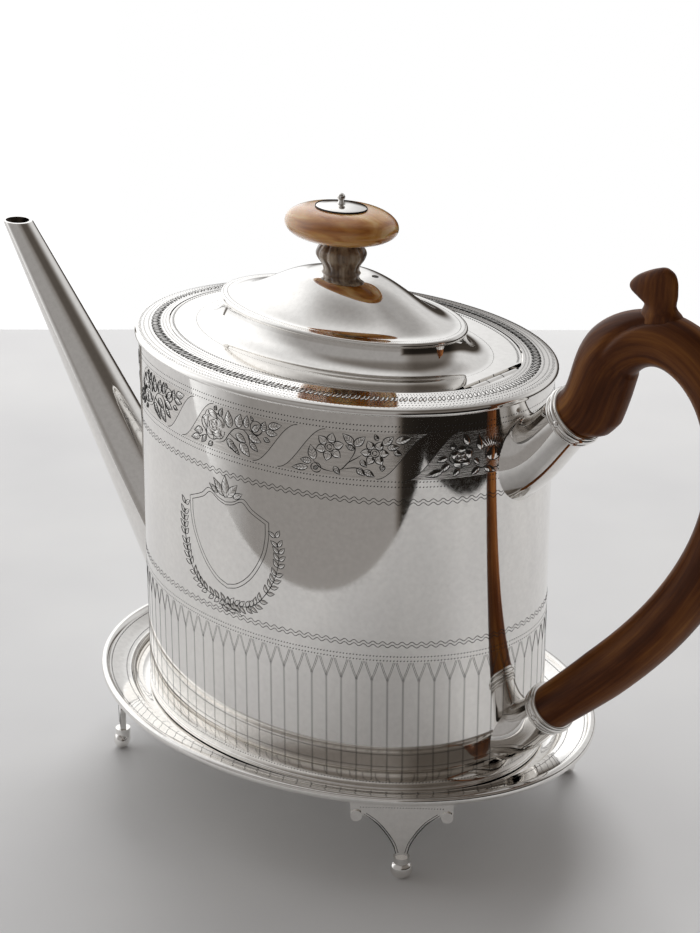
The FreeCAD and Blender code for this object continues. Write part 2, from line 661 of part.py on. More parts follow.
def thumb_piece():
    """Carved leaf on top of the arch, swelling and then drawn to a point."""
    low = ARCH_Z
    tall = THUMB_TIP_Z - low
    stations = [(0.0, 0.8, -2.4), (0.34, 0.78, -3.0), (0.58, 1.0, -3.2)]
    stations += [(0.8, 0.78, -1.4), (0.94, 0.42, -0.3), (1.0, 0.14, 0.0)]
    wires = []
    for share, size, lean in stations:
        centre = at(THUMB_TIP_X + lean, 0, low + tall * share)
        deep = Vector(THUMB_LONG / 2 * size, 0, 0)
        wires.append(oval_wire(centre, deep, Vector(0, THUMB_WIDE / 2 * size, 0)))
    return Part.makeLoft(wires, True, False)


def handle():
    """Fruitwood scroll with a thumb-piece, and a round tenon in each socket."""
    line = handle_line()
    count = 4 * CURVE_STEPS
    wood = Part.makeLoft([handle_section(line, i / count) for i in range(count + 1)], True, False)
    wood = wood.fuse(thumb_piece())
    ends = [(UPPER_MOUTH_X, UPPER_MOUTH_Z, UPPER_TILT, UPPER_MOUTH_RADIUS),
            (LOWER_MOUTH_X, LOWER_MOUTH_Z, LOWER_TILT, LOWER_MOUTH_RADIUS)]
    for mouth_x, mouth_z, tilt, mouth_radius in ends:
        mouth, axis = socket_frame(mouth_x, mouth_z, tilt)
        radius = mouth_radius - SOCKET_SHEET - TENON_FIT
        depth = TENON_DEPTH - TENON_FIT
        tenon = Part.makeCylinder(radius, depth + TENON_FIT, mouth - axis * depth, axis)
        wood = wood.fuse(tenon).cut(pin_rod(mouth, axis, mouth_radius, TENON_FIT))
    return wood.removeSplitter()


def stand_oval(share, z):
    """Half-sizes of an oval that share of the way in from the stand's edge to its flat floor."""
    long_half = STAND_LONG / 2 * (1 - share) + (BODY_LONG / 2 + FLOOR_MARGIN) * share
    wide_half = STAND_WIDE / 2 * (1 - share) + (BODY_WIDE / 2 + FLOOR_MARGIN) * share
    return (long_half, wide_half, z)


def stand_section(lower):
    """Ovals of the border and the cove from under the rim wire to the floor, moved down by lower."""
    cove = quarter((1, STAND_FLOOR), (BORDER_SHARE, STAND_RIM - BORDER_DROP))
    cove.reverse()
    return [stand_oval(RIM_SHARE / 2, STAND_RIM - lower)] + [stand_oval(share, z - lower) for share, z in cove]


def stand_tray():
    """Flat floor, cove and broad border, all of one sheet."""
    border = oval_solid(stand_section(0) + stand_section(STAND_SHEET)[::-1])
    floor_long, floor_wide, _ = stand_oval(1, STAND_FLOOR)
    floor = oval_plug(2 * floor_long, 2 * floor_wide, STAND_FLOOR - STAND_SHEET, STAND_FLOOR)
    return border.fuse(floor).removeSplitter()


def stand_rim_wire():
    """Moulded wire that laps the edge of the border."""
    low = STAND_RIM_Z - RIM_WIRE_HIGH
    edge = RIM_SHARE / 2
    section = [
        (edge, STAND_RIM), (edge, STAND_RIM - STAND_SHEET), (edge * 0.9, low), (edge * 0.4, low),
        (0, low + RIM_WIRE_HIGH * 0.3), (0, low + RIM_WIRE_HIGH * 0.7), (edge * 0.4, STAND_RIM_Z),
        (edge * 1.4, STAND_RIM_Z), (RIM_SHARE, STAND_RIM)]
    return oval_solid([stand_oval(share, z) for share, z in section])


def foot_frame(side_x, side_y):
    """Placement of a foot: X along the oval, Y outwards, Z up, from a point under the border."""
    turn = math.radians(FOOT_ANGLE)
    half_long = STAND_LONG / 2 - FOOT_INSET
    half_wide = STAND_WIDE / 2 - FOOT_INSET
    spot = at(side_x * half_long * math.cos(turn), side_y * half_wide * math.sin(turn), 0)
    out = Vector(side_x * math.cos(turn) / half_long, side_y * math.sin(turn) / half_wide, 0)
    out.normalize()
    along = out.cross(Vector(0, 0, 1))
    return FreeCAD.Placement(spot, FreeCAD.Rotation(along, out, Vector(0, 0, 1), "ZXY"))


def foot_bracket(place):
    """Bracket with two volutes at its wings and a narrow neck, cut to the tray's underside."""
    half = FOOT_BRACKET_WIDE / 2
    top = STAND_RIM_Z
    wing = STAND_FLOOR + STAND_SHEET - FOOT_WING_DROP
    neck = FOOT_NECK_WIDE / 2
    inner = half - 2 * VOLUTE_RADIUS
    rows = [Vector(-half, 0, top), Vector(half, 0, top), Vector(half, 0, wing + VOLUTE_RADIUS)]
    corner = [Vector(inner, 0, wing + VOLUTE_RADIUS), Vector(neck, 0, FOOT_NECK_Z)]
    bow = Vector(neck + (inner - neck) * 0.32, 0, FOOT_NECK_Z + (wing + VOLUTE_RADIUS - FOOT_NECK_Z) * 0.68)
    left = [Vector(-p.x, 0, p.z) for p in corner]
    edges = [Part.makeLine(rows[0], rows[1]), Part.makeLine(rows[1], rows[2])]
    edges.append(Part.makeLine(rows[2], corner[0]))
    edges.append(Part.Arc(corner[0], bow, corner[1]).toShape())
    edges.append(Part.makeLine(corner[1], left[1]))
    edges.append(Part.Arc(left[1], Vector(-bow.x, 0, bow.z), left[0]).toShape())
    edges.append(Part.makeLine(left[0], Vector(-half, 0, wing + VOLUTE_RADIUS)))
    edges.append(Part.makeLine(Vector(-half, 0, wing + VOLUTE_RADIUS), rows[0]))
    plate = Part.Face(Part.Wire(edges)).extrude(Vector(0, FOOT_PLATE, 0))
    for side in (-1, 1):
        centre = Vector(side * (half - VOLUTE_RADIUS), 0, wing + VOLUTE_RADIUS)
        plate = plate.fuse(Part.makeCylinder(VOLUTE_RADIUS, FOOT_PLATE * 1.3, centre, Vector(0, 1, 0)))
    plate.Placement = place
    return plate.removeSplitter().cut(tray_headroom())


def tray_headroom():
    """Everything above the tray's underside, out past the rim, so that a bracket ends against it."""
    top = 2 * STAND_RIM
    low = STAND_RIM_Z - RIM_WIRE_HIGH
    past = [stand_oval(-RIM_SHARE, top), stand_oval(-RIM_SHARE, low), stand_oval(RIM_SHARE / 2 * 0.9, low)]
    return oval_solid(past + stand_section(STAND_SHEET) + [stand_oval(1, top)])


def foot_ball(place):
    """Bun toe with a collar round the neck, worn flat underneath."""
    bun = Part.makeSphere(0.5)
    shape = FreeCAD.Matrix()
    shape.scale(BALL_WIDE, BALL_THICK, BALL_HIGH + FOOT_FLAT)
    bun = bun.transformGeometry(shape)
    middle = (BALL_HIGH + FOOT_FLAT) / 2 - FOOT_FLAT
    bun.translate(Vector(0, BALL_OUT, middle))
    collar = Part.makeCylinder(FOOT_COLLAR_RADIUS, FOOT_NECK_Z - middle, Vector(0, FOOT_PLATE / 2, middle))
    corner = Vector(-BALL_WIDE, -2 * BALL_WIDE, -BALL_HIGH)
    ground = Part.makeBox(2 * BALL_WIDE, 4 * BALL_WIDE, BALL_HIGH, corner)
    toe = bun.fuse(collar).cut(ground)
    toe.Placement = place.multiply(toe.Placement)
    return toe.removeSplitter()


os.makedirs("parts", exist_ok=True)
save("stand_tray", stand_tray())
save("stand_rim_wire", stand_rim_wire())
for end, side_x in (("right", 1), ("left", -1)):
    for face, side_y in (("front", -1), ("back", 1)):
        spot = foot_frame(side_x, side_y)
        save(face + "_" + end + "_foot_bracket", foot_bracket(spot))
        save(face + "_" + end + "_foot_ball", foot_ball(spot))
save("body_wall", body_wall())
save("base_plate", base_plate())
save("base_wire", base_wire())
save("shoulder", shoulder())
save("lid_seat", lid_seat())
save("spout", spout())
UPPER = (UPPER_MOUTH_X, UPPER_MOUTH_Z, UPPER_TILT, UPPER_MOUTH_RADIUS)
LOWER = (LOWER_MOUTH_X, LOWER_MOUTH_Z, LOWER_TILT, LOWER_MOUTH_RADIUS)
save("upper_socket", socket(*UPPER, (UPPER_PLATE_WIDE, UPPER_PLATE_HIGH, UPPER_PLATE_Z)))
save("lower_socket", socket(*LOWER, (LOWER_PLATE_WIDE, LOWER_PLATE_HIGH, LOWER_PLATE_Z)))
save("upper_socket_collar", socket_collar(*UPPER))
save("lower_socket_collar", socket_collar(*LOWER))
save("handle", handle())
for name, mouth_sizes in (("upper_handle_pin", UPPER), ("lower_handle_pin", LOWER)):
    mouth, axis = socket_frame(*mouth_sizes[:3])
    save(name, pin_rod(mouth, axis, mouth_sizes[3], 0))
save("body_hinge_knuckles", body_hinge_knuckles())
save("hinge_pin", hinge_pin())
save("lid", lid())
save("lid_bezel", lid_bezel())
save("lid_hinge_knuckle", lid_hinge_knuckle())
save("finial_stem", finial_stem())
save("finial_knob", finial_knob())
save("finial_cap", finial_cap())
save("finial_bolt", finial_bolt())
save("finial_washer", finial_washer())
save("finial_nut", finial_nut())
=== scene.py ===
"""Looks of an oval silver teapot on its four-footed stand.

Lengths are millimetres until a mesh is made. +X points to the handle, -Y to the engraved front.
A moulding keeps its width all round: row k of its grid is the oval whose half axes are those of a
named oval less inset k, at height k.
"""
import math

import bmesh
import bpy
import numpy as np
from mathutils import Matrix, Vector


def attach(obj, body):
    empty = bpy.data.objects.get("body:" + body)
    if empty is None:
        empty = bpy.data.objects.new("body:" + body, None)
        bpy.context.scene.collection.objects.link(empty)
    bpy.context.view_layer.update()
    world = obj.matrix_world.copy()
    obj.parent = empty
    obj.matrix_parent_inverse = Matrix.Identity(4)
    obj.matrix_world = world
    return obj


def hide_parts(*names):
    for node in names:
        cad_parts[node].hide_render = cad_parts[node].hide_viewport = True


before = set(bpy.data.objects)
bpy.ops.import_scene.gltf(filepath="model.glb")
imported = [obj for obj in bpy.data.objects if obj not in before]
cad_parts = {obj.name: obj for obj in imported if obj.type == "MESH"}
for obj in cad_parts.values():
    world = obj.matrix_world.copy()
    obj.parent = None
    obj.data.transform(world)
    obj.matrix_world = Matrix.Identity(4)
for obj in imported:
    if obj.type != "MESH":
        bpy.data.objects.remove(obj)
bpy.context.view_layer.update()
scene = bpy.context.scene
scene.view_settings.view_transform = "Standard"

MM = 0.001
AXIS_X = 3.25
DRUM = (67.5, 49.2)
STAND = (84.0, 63.5)
SHEET = 1.0
DRUM_FOOT = 21.7
DRUM_TOP = 136.0
MOUTH_INSET = 9.2
MOUTH_GAP = 0.35
LID_LEVEL = 139.3
LID_FOOT = LID_LEVEL - SHEET
HINGE_X = 55.6
LID_CUT = HINGE_X - 1.95
COVE_INSET = 18.6
COVE_SIZE = (7.2, 7.0)
LEDGE_TOP = 147.9
LEDGE_INSET = 26.6
DOME_TOP = 158.3
STEM_TOP = 168.3
KNOB_TOP = 177.3
BOLT_HOLE = 1.05
ROUND = np.linspace(0, 2 * np.pi, 384, endpoint=False)


def linear(code):
    """sRGB hex code as linear RGBA."""
    part = np.array([int(code[i:i + 2], 16) for i in (1, 3, 5)]) / 255
    part = np.where(part <= 0.04045, part / 12.92, ((part + 0.055) / 1.055) ** 2.4)
    return (*part.tolist(), 1.0)


def every(*sizes):
    """Scale of a pattern whose step has these sizes in millimetres."""
    scale = [1 / (size * MM) for size in sizes]
    return scale if len(scale) > 1 else scale[0]


def add(tree, kind, inputs, stops=(), out=0, **settings):
    """One node of a kind, or a node that is there already: settings are its properties, inputs its sockets,
    each linked or set to a constant, stops the (place, hex code) pairs of a ramp. Returns an output."""
    made = tree.nodes.new(kind) if isinstance(kind, str) else kind
    for key, value in settings.items():
        setattr(made, key, value)
    for key, value in inputs.items():
        if isinstance(value, bpy.types.NodeSocket):
            tree.links.new(value, made.inputs[key])
        else:
            made.inputs[key].default_value = value
    if stops:
        steps = made.color_ramp.elements
        steps[0].position, steps[1].position = stops[0][0], stops[-1][0]
        for place, _ in stops[1:-1]:
            steps.new(place)
        for step, (_, code) in zip(steps, stops):
            step.color = linear(code)
    return made.outputs[out]


def finish(name):
    """An empty node material, its tree and its shader."""
    made = bpy.data.materials.new(name)
    made.use_nodes = True
    return made, made.node_tree, made.node_tree.nodes["Principled BSDF"]


def polished_silver():
    """Sterling silver, raised, planished and hand polished: a white mirror whose gloss is broken by a haze
    of fine rubbing and whose sheet is never quite flat. The rubbing is drawn coarse enough to show."""
    made, tree, shader = finish("sterling_silver_polished")
    place = add(tree, "ShaderNodeTexCoord", {}, out="Object")
    rub = add(tree, "ShaderNodeTexNoise", {"Vector": place, "Scale": every(1.43), "Detail": 5.0})
    haze = add(tree, "ShaderNodeMapRange", {"Value": rub, "From Min": 0.3, "From Max": 0.7,
                                            "To Min": 0.03, "To Max": 0.065})
    tint = add(tree, "ShaderNodeValToRGB", {"Fac": rub}, [(0.3, "#f4f2ef"), (0.7, "#ebe9e6")])
    sheet = add(tree, "ShaderNodeTexNoise", {"Vector": place, "Scale": every(62.5), "Detail": 1.0})
    wave = add(tree, "ShaderNodeBump", {"Height": sheet, "Strength": 0.16, "Distance": 0.6 * MM})
    add(tree, shader, {"Base Color": tint, "Metallic": 1.0, "Roughness": haze, "Normal": wave})
    return made


def cut_silver_and_shade():
    """Bright-cut engraving: narrow tool cuts whose floor has darkened unevenly. Also laid as painted shade
    round the rim of the knob's cap.
    """
    made, tree, shader = finish("engraved_silver_darkened_and_painted_shade")
    place = add(tree, "ShaderNodeTexCoord", {}, out="Object")
    spots = add(tree, "ShaderNodeTexNoise", {"Vector": place, "Scale": every(2.5), "Detail": 2.0})
    tint = add(tree, "ShaderNodeValToRGB", {"Fac": spots}, [(0.35, "#0f0e0d"), (0.65, "#2e2b28")])
    add(tree, shader, {"Base Color": tint, "Metallic": 0.25, "Roughness": 0.5})
    return made


def waxed_fruitwood():
    """Dark stained fruitwood, carved and waxed: brown with amber streaks along the grain, a dull shine and
    pores drawn coarse enough to show."""
    made, tree, shader = finish("fruitwood_waxed")
    along = add(tree, "ShaderNodeAttribute", {}, out="Vector", attribute_name="unbent")
    place = add(tree, "ShaderNodeMapping", {"Vector": along, "Scale": every(55.6, 2.38, 2.38)})
    grain = add(tree, "ShaderNodeTexNoise", {"Vector": place, "Scale": 1.0, "Detail": 6.0, "Roughness": 0.65})
    place = add(tree, "ShaderNodeMapping", {"Vector": along, "Scale": every(45.5, 11.1, 11.1)})
    cloud = add(tree, "ShaderNodeTexNoise", {"Vector": place, "Scale": 1.0, "Detail": 3.0})
    both = add(tree, "ShaderNodeMath", {0: grain, 1: cloud}, operation="ADD")
    half = add(tree, "ShaderNodeMath", {0: both, 1: 0.5}, operation="MULTIPLY")
    tint = add(tree, "ShaderNodeValToRGB", {"Fac": half},
               [(0.34, "#371706"), (0.46, "#522a10"), (0.55, "#6e401a"), (0.66, "#905d29")])
    place = add(tree, "ShaderNodeMapping", {"Vector": along, "Scale": every(6.25, 0.667, 0.667)})
    pores = add(tree, "ShaderNodeTexNoise", {"Vector": place, "Scale": 1.0, "Detail": 2.0})
    rough = add(tree, "ShaderNodeMapRange", {"Value": grain, "To Min": 0.32, "To Max": 0.46})
    bump = add(tree, "ShaderNodeBump", {"Height": pores, "Strength": 0.2, "Distance": 0.2 * MM})
    add(tree, shader, {"Base Color": tint, "Roughness": rough, "Normal": bump, "Specular IOR Level": 0.13,
                       "Coat Weight": 0.05, "Coat Roughness": 0.2})
    return made


def amber_horn():
    """Polished pale horn: honey to amber, faintly streaked, with light going a little way in."""
    made, tree, shader = finish("horn_amber_polished")
    place = add(tree, "ShaderNodeTexCoord", {}, out="Object")
    place = add(tree, "ShaderNodeMapping", {"Vector": place, "Scale": every(16.7, 6.25, 2.38)})
    streak = add(tree, "ShaderNodeTexNoise",
                 {"Vector": place, "Scale": 1.0, "Detail": 5.0, "Distortion": 0.6})
    tint = add(tree, "ShaderNodeValToRGB", {"Fac": streak},
               [(0.28, "#9c5a1e"), (0.44, "#c1803a"), (0.58, "#d8a25c"), (0.75, "#efcf98")])
    add(tree, shader, {"Base Color": tint, "Roughness": 0.16, "Coat Weight": 0.8, "Coat Roughness": 0.06,
                       "Subsurface Weight": 0.3, "Subsurface Scale": 4 * MM,
                       "Subsurface Radius": (1.0, 0.5, 0.2)})
    return made


def grey_horn():
    """Turned and reeded darker horn: grey-brown with pale streaks along the reeds."""
    made, tree, shader = finish("horn_grey_reeded")
    place = add(tree, "ShaderNodeTexCoord", {}, out="Object")
    place = add(tree, "ShaderNodeMapping", {"Vector": place, "Scale": every(2.0, 2.0, 16.7)})
    streak = add(tree, "ShaderNodeTexNoise", {"Vector": place, "Scale": 1.0, "Detail": 4.0})
    tint = add(tree, "ShaderNodeValToRGB", {"Fac": streak},
               [(0.32, "#5a4636"), (0.5, "#8f7b66"), (0.68, "#b8a68f")])
    add(tree, shader, {"Base Color": tint, "Roughness": 0.3, "Coat Weight": 0.3, "Coat Roughness": 0.15})
    return made


def stained_and_shaded_silver():
    """Dark unpolished silver: inside the spout, tea stain with painted shade of the narrow tube; on the steam
    hole's disc, painted shade for the dark pot seen through the hole.
    """
    made, tree, shader = finish("silver_inside_stain_and_painted_shade")
    place = add(tree, "ShaderNodeTexCoord", {}, out="Object")
    stain = add(tree, "ShaderNodeTexNoise", {"Vector": place, "Scale": every(2.0), "Detail": 3.0})
    # These dark browns are painted shade on the steam hole's disc, and tea stain with painted shade inside
    # the spout.
    tint = add(tree, "ShaderNodeValToRGB", {"Fac": stain}, [(0.35, "#1c1712"), (0.65, "#4a3f33")])
    add(tree, shader, {"Base Color": tint, "Metallic": 0.6, "Roughness": 0.5})
    return made


def matted_silver():
    """Ground of the flower band, matted with fine tool lines: paler and duller, lined along the girth."""
    made, tree, shader = finish("silver_matted_ground")
    place = add(tree, "ShaderNodeTexCoord", {}, out="Object")
    place = add(tree, "ShaderNodeMapping", {"Vector": place, "Scale": every(3.85, 3.85, 0.3125)})
    lines = add(tree, "ShaderNodeTexNoise", {"Vector": place, "Scale": 1.0, "Detail": 3.0})
    tint = add(tree, "ShaderNodeValToRGB", {"Fac": lines}, [(0.3, "#d3d0cc"), (0.7, "#f2efeb")])
    cut = add(tree, "ShaderNodeBump", {"Height": lines, "Strength": 0.15, "Distance": 0.1 * MM})
    add(tree, shader, {"Base Color": tint, "Metallic": 1.0, "Roughness": 0.14, "Normal": cut})
    return made


SILVER = polished_silver()
CUTS_AND_SHADE = cut_silver_and_shade()
MATTED = matted_silver()
INSIDE = stained_and_shaded_silver()
WOOD = waxed_fruitwood()
HORN = amber_horn()
STEM_HORN = grey_horn()


def grid(points, round_u=False, round_v=False, flip=False):
    """Quads between neighbouring rows u and columns v of points[u, v], closed where round."""
    index = np.arange(points.shape[0] * points.shape[1]).reshape(points.shape[:2])
    if round_u:
        index = np.vstack([index, index[:1]])
    if round_v:
        index = np.hstack([index, index[:, :1]])
    faces = np.stack([index[:-1, :-1], index[:-1, 1:], index[1:, 1:], index[1:, :-1]], -1).reshape(-1, 4)
    return points.reshape(-1, 3), faces[:, ::-1] if flip else faces


def piece(name, body, material, grids, stands_for=(), crease=38, closed=True, unbent=None):
    """One mesh object from several grids, in metres, smooth except at edges sharper than crease."""
    starts = np.cumsum([0] + [len(points) for points, _ in grids])
    points = np.concatenate([p for p, _ in grids]) * MM
    faces = np.concatenate([f + n for (_, f), n in zip(grids, starts)])
    mesh = bpy.data.meshes.new(name)
    mesh.vertices.add(len(points))
    mesh.vertices.foreach_set("co", points.astype(np.float32).ravel())
    mesh.loops.add(faces.size)
    mesh.loops.foreach_set("vertex_index", faces.astype(np.int32).ravel())
    mesh.polygons.add(len(faces))
    mesh.polygons.foreach_set("loop_start", np.arange(0, faces.size, faces.shape[1], dtype=np.int32))
    mesh.update(calc_edges=True)
    if unbent is not None:
        mesh.attributes.new("unbent", "FLOAT_VECTOR", "POINT")
        mesh.attributes["unbent"].data.foreach_set("vector", (unbent * MM).astype(np.float32).ravel())
    if closed:
        work = bmesh.new()
        work.from_mesh(mesh)
        bmesh.ops.remove_doubles(work, verts=work.verts, dist=2e-6)
        bmesh.ops.dissolve_degenerate(work, edges=work.edges, dist=1e-7)
        bmesh.ops.recalc_face_normals(work, faces=work.faces)
        work.to_mesh(mesh)
        work.free()
    mesh.polygons.foreach_set("use_smooth", np.ones(len(mesh.polygons), bool))
    mesh.set_sharp_from_angle(angle=math.radians(crease))
    mesh.materials.append(material)
    made = bpy.data.objects.new(name, mesh)
    scene.collection.objects.link(made)
    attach(made, body)
    if stands_for:
        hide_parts(*stands_for)


def curve(points, count):
    """Smooth curve through the points: on each span a cubic whose end slopes are half the step
    between the neighbours on both sides."""
    p = np.asarray(points, float)
    slope = np.gradient(p, axis=0)
    u = np.linspace(0, len(p) - 1, count)
    k = np.minimum(u.astype(int), len(p) - 2)
    f = (u - k)[:, None]
    return ((2 * f ** 3 - 3 * f ** 2 + 1) * p[k] + (f ** 3 - 2 * f ** 2 + f) * slope[k]
            + (3 * f ** 2 - 2 * f ** 3) * p[k + 1] + (f ** 3 - f ** 2) * slope[k + 1])


def ovals(long_half, wide_half, z, turns=ROUND):
    """Rows of ovals round the pot's axis: x = long cos t, y = wide sin t."""
    long_half, wide_half, z = (np.asarray(v, float)[:, None] for v in (long_half, wide_half, z))
    x = AXIS_X + long_half * np.cos(turns)
    return np.stack([x, wide_half * np.sin(turns), z + 0 * x], -1)


def moulding(section, half, cut=None):
    """Rows of ovals inset from the named one by section's (inset, height), ended at X = cut."""
    inset, z = np.asarray(section, float).T
    inset = inset[:, None] + 0 * ROUND
    if cut is not None:
        reach = half[0] - cut / np.maximum(np.cos(ROUND), 0.3)
        inset = np.maximum(inset, np.where(np.cos(ROUND) > 0.3, reach, -99))
    x = AXIS_X + (half[0] - inset) * np.cos(ROUND)
    return np.stack([x, (half[1] - inset) * np.sin(ROUND), z[:, None] + 0 * x], -1)


def engraved(name, body, grids, material=CUTS_AND_SHADE):
    """A piece of open strokes or reliefs that lie on the silver."""
    piece(name, body, material, grids, closed=False, crease=180)


# The drum: a straight wall of one sheet
piece("drum", "pot", SILVER, [grid(moulding(
    [(0, DRUM_FOOT), (0, 22.2), (0, 60), (0, 100), (0, 135.8), (0, DRUM_TOP),
     (SHEET, DRUM_TOP), (SHEET, 80), (SHEET, DRUM_FOOT)], DRUM), True, True)], ["body_wall"])
wire = curve([(-0.2, DRUM_FOOT), (-0.42, 22.0), (-0.43, 22.45), (-0.25, 22.85), (0.0, 22.98)], 11)
piece("foot_wire", "pot", SILVER, [grid(moulding([(0.05, DRUM_FOOT), *wire, (0.05, 23)], DRUM), True, True)],
      ["base_wire"])

# The shoulder: a rounded lip, a gently rising plate and the tongue behind the hinge
lip = curve([(-0.6, 136.02), (-1.0, 136.35), (-1.1, 136.85), (-1.0, 137.4), (-0.6, 137.9), (0.1, 138.2),
             (1.2, 138.36)], 19)
TONGUE = (58.9, 40.6)
BARREL_HALF = 10.4
BARREL_CLEAR = 1.75
tongue_y = np.linspace(-1, 1, 41) * 17.2


def tongue(z):
    """Mouth behind the hinge: x runs from the barrels, or beside them from the axis, to the oval."""
    edge = TONGUE[0] * np.sqrt(np.maximum(1 - (tongue_y / TONGUE[1]) ** 2, 0))
    start = np.where(np.abs(tongue_y) < BARREL_HALF, HINGE_X + BARREL_CLEAR, HINGE_X)
    x = AXIS_X + np.linspace(np.minimum(start, edge), edge, 2)
    return np.stack([x, tongue_y + 0 * x, z + 0 * x], -1)


piece("shoulder_plate", "pot", SILVER, [
    grid(moulding(np.concatenate([[(SHEET, DRUM_TOP), (-0.3, DRUM_TOP)], lip,
                                  np.linspace((2.2, 138.46), (MOUTH_INSET, LID_LEVEL), 6),
                                  [(MOUTH_INSET, LID_FOOT), (2, 137.1)]]), DRUM), True, True),
    grid(np.concatenate([tongue(139.18), tongue(138.42)[::-1]]), True)], ["shoulder"])

# The lid: flange, quarter-oval cove, ledge and ogee dome of one sheet, open below. The dome rises by
# sin(swing pi / 2) ^ 1.7 while its half axes shrink evenly.
bend = np.linspace(0, np.pi / 2, 15)
cove = np.stack([COVE_INSET + COVE_SIZE[0] * np.sin(bend), LID_LEVEL + COVE_SIZE[1] * (1 - np.cos(bend))], -1)
ledge = curve([(25.75, 146.3), (25.35, 146.45), (25.15, 146.9), (25.2, 147.45), (25.6, 147.85),
               (LEDGE_INSET, LEDGE_TOP)], 13)
dome_foot = (DRUM[0] - LEDGE_INSET, DRUM[1] - LEDGE_INSET)
dome_end = (7.8, 6.87)
share = np.linspace(0, 1, 33)
swing = np.clip((share - 0.06) / 0.94, 0, 1)
dome_rise = (DOME_TOP - LEDGE_TOP) * np.sin(swing * np.pi / 2) ** 1.7
dome_long, dome_wide = (foot + (end - foot) * share for foot, end in zip(dome_foot, dome_end))
brim = MOUTH_INSET + MOUTH_GAP
flange = np.linspace((11, LID_LEVEL), (17.6, LID_LEVEL), 4)
outer = moulding(np.concatenate([[(brim, LID_FOOT), (brim, LID_LEVEL - 0.15), (brim + 0.15, LID_LEVEL)],
                                 flange, cove, ledge]), DRUM, LID_CUT)
dome = ovals(dome_long, dome_wide, LEDGE_TOP + dome_rise)
crown = ovals([6, BOLT_HOLE], [5, BOLT_HOLE], [DOME_TOP, DOME_TOP])
inside = np.concatenate([[(9.9, LID_FOOT), (COVE_INSET + SHEET, LID_FOOT)], cove[2:] + [SHEET, -0.9]])
under = moulding(inside, DRUM, LID_CUT)
down = [0, 0, SHEET]
lid_rows = np.concatenate([outer, dome[1:], crown, crown[::-1] - down, dome[::-1] - down, under[::-1]])
piece("lid_shell", "lid", SILVER, [grid(lid_rows, True, True)], ["lid"])

# The steam hole beside the stem: a dark round on the slope of the dome, painted shade that stands for the
# hole and the dark pot inside
HOLE_AT = (AXIS_X + 9.7, 3.6, 158.15)
around = np.stack([np.cos(ROUND[::16]), np.sin(ROUND[::16])])[:, None]
hole_x, hole_y = around * np.array([[1.0], [0.5], [0.02]])
hole = np.stack([hole_x, hole_y, -0.127 * hole_x - 0.087 * hole_y], -1) + HOLE_AT
piece("steam_hole_painted_shade", "lid", INSIDE, [grid(hole, False, True)], closed=False)

# The stand: moulded rim, broad dished border, cove and flat floor
FLOOR = (DRUM[0] + 1.3, DRUM[1] + 1.3)
FLOOR_LEVEL = 21.4
FLOOR_UNDER = 20.3
BORDER = [(0.18, 27.1), (0.3, 26.5), (0.46, 25.85), (0.6, 25.42)]


def stand_rows(section):
    """Ovals that share of the way in from the stand's edge to its floor, at their heights."""
    way, z = np.asarray(section, float).T
    return ovals(STAND[0] + (FLOOR[0] - STAND[0]) * way, STAND[1] + (FLOOR[1] - STAND[1]) * way, z)


sweep = np.linspace(np.pi / 2, 0, 13)
rim = curve([(0.022, 25.95), (0.004, 26.6), (0.004, 27.3), (0.026, 27.95), (0.075, 28.18), (0.125, 28.1),
             (0.165, 27.5)], 19)
hollow = np.stack([1 - 0.342 * np.sin(sweep), FLOOR_LEVEL + 3.88 * (1 - np.cos(sweep))], -1)
upper_side = np.concatenate([[(0.085, 25.9), (0.05, 25.82)], rim, curve(BORDER, 9), [(0.63, 25.32)], hollow])
under_side = [(1, FLOOR_UNDER), (0.8, 21.2), (0.66, 24.2), (0.6, 24.4), (0.09, 25.85)]
floor_rows = ovals([60, 30, 1], [40, 20, 0.7], [FLOOR_LEVEL] * 3)
floor_low = ovals([1, 30, 60], [0.7, 20, 40], [FLOOR_UNDER] * 3)
piece("stand_tray_and_rim", "stand", SILVER, [grid(np.concatenate(
    [stand_rows(upper_side), floor_rows, floor_low, stand_rows(under_side)]), True, True)],
      ["stand_tray", "stand_rim_wire"])

# The finial: a horn stem with twelve grooves, an oval horn knob that swells by sin(t) ^ 0.78, a silver cap
# with a ring of painted shade under its edge, and a washer and six-sided nut inside the lid
STEM_ASPECT = 0.84
CAP_ASPECT = 0.74
stem = curve([(6.0, DOME_TOP), (5.8, 158.6), (5.6, 159.1), (5.65, 159.9), (6.3, 161.2), (7.35, 162.6),
              (7.85, 163.8), (7.6, 165.0), (6.8, 166.0), (6.0, 167.0), (5.6, STEM_TOP)], 48)
grooves = 1 - 0.05 * np.abs(np.cos(6 * ROUND)) ** 6 * np.clip((stem[:, 1:] - 158.6) / 1.5, 0, 1)
stem_rows = ovals(stem[:, 0], stem[:, 0] * STEM_ASPECT, stem[:, 1])
stem_rows[..., :2] = (stem_rows[..., :2] - [AXIS_X, 0]) * grooves[..., None] + [AXIS_X, 0]


def bored(rows, top, foot):
    """Rows closed by the hole for the bolt."""
    hole = ovals([BOLT_HOLE] * 2, [BOLT_HOLE] * 2, [top, foot])
    return grid(np.concatenate([rows, hole]), True, True)


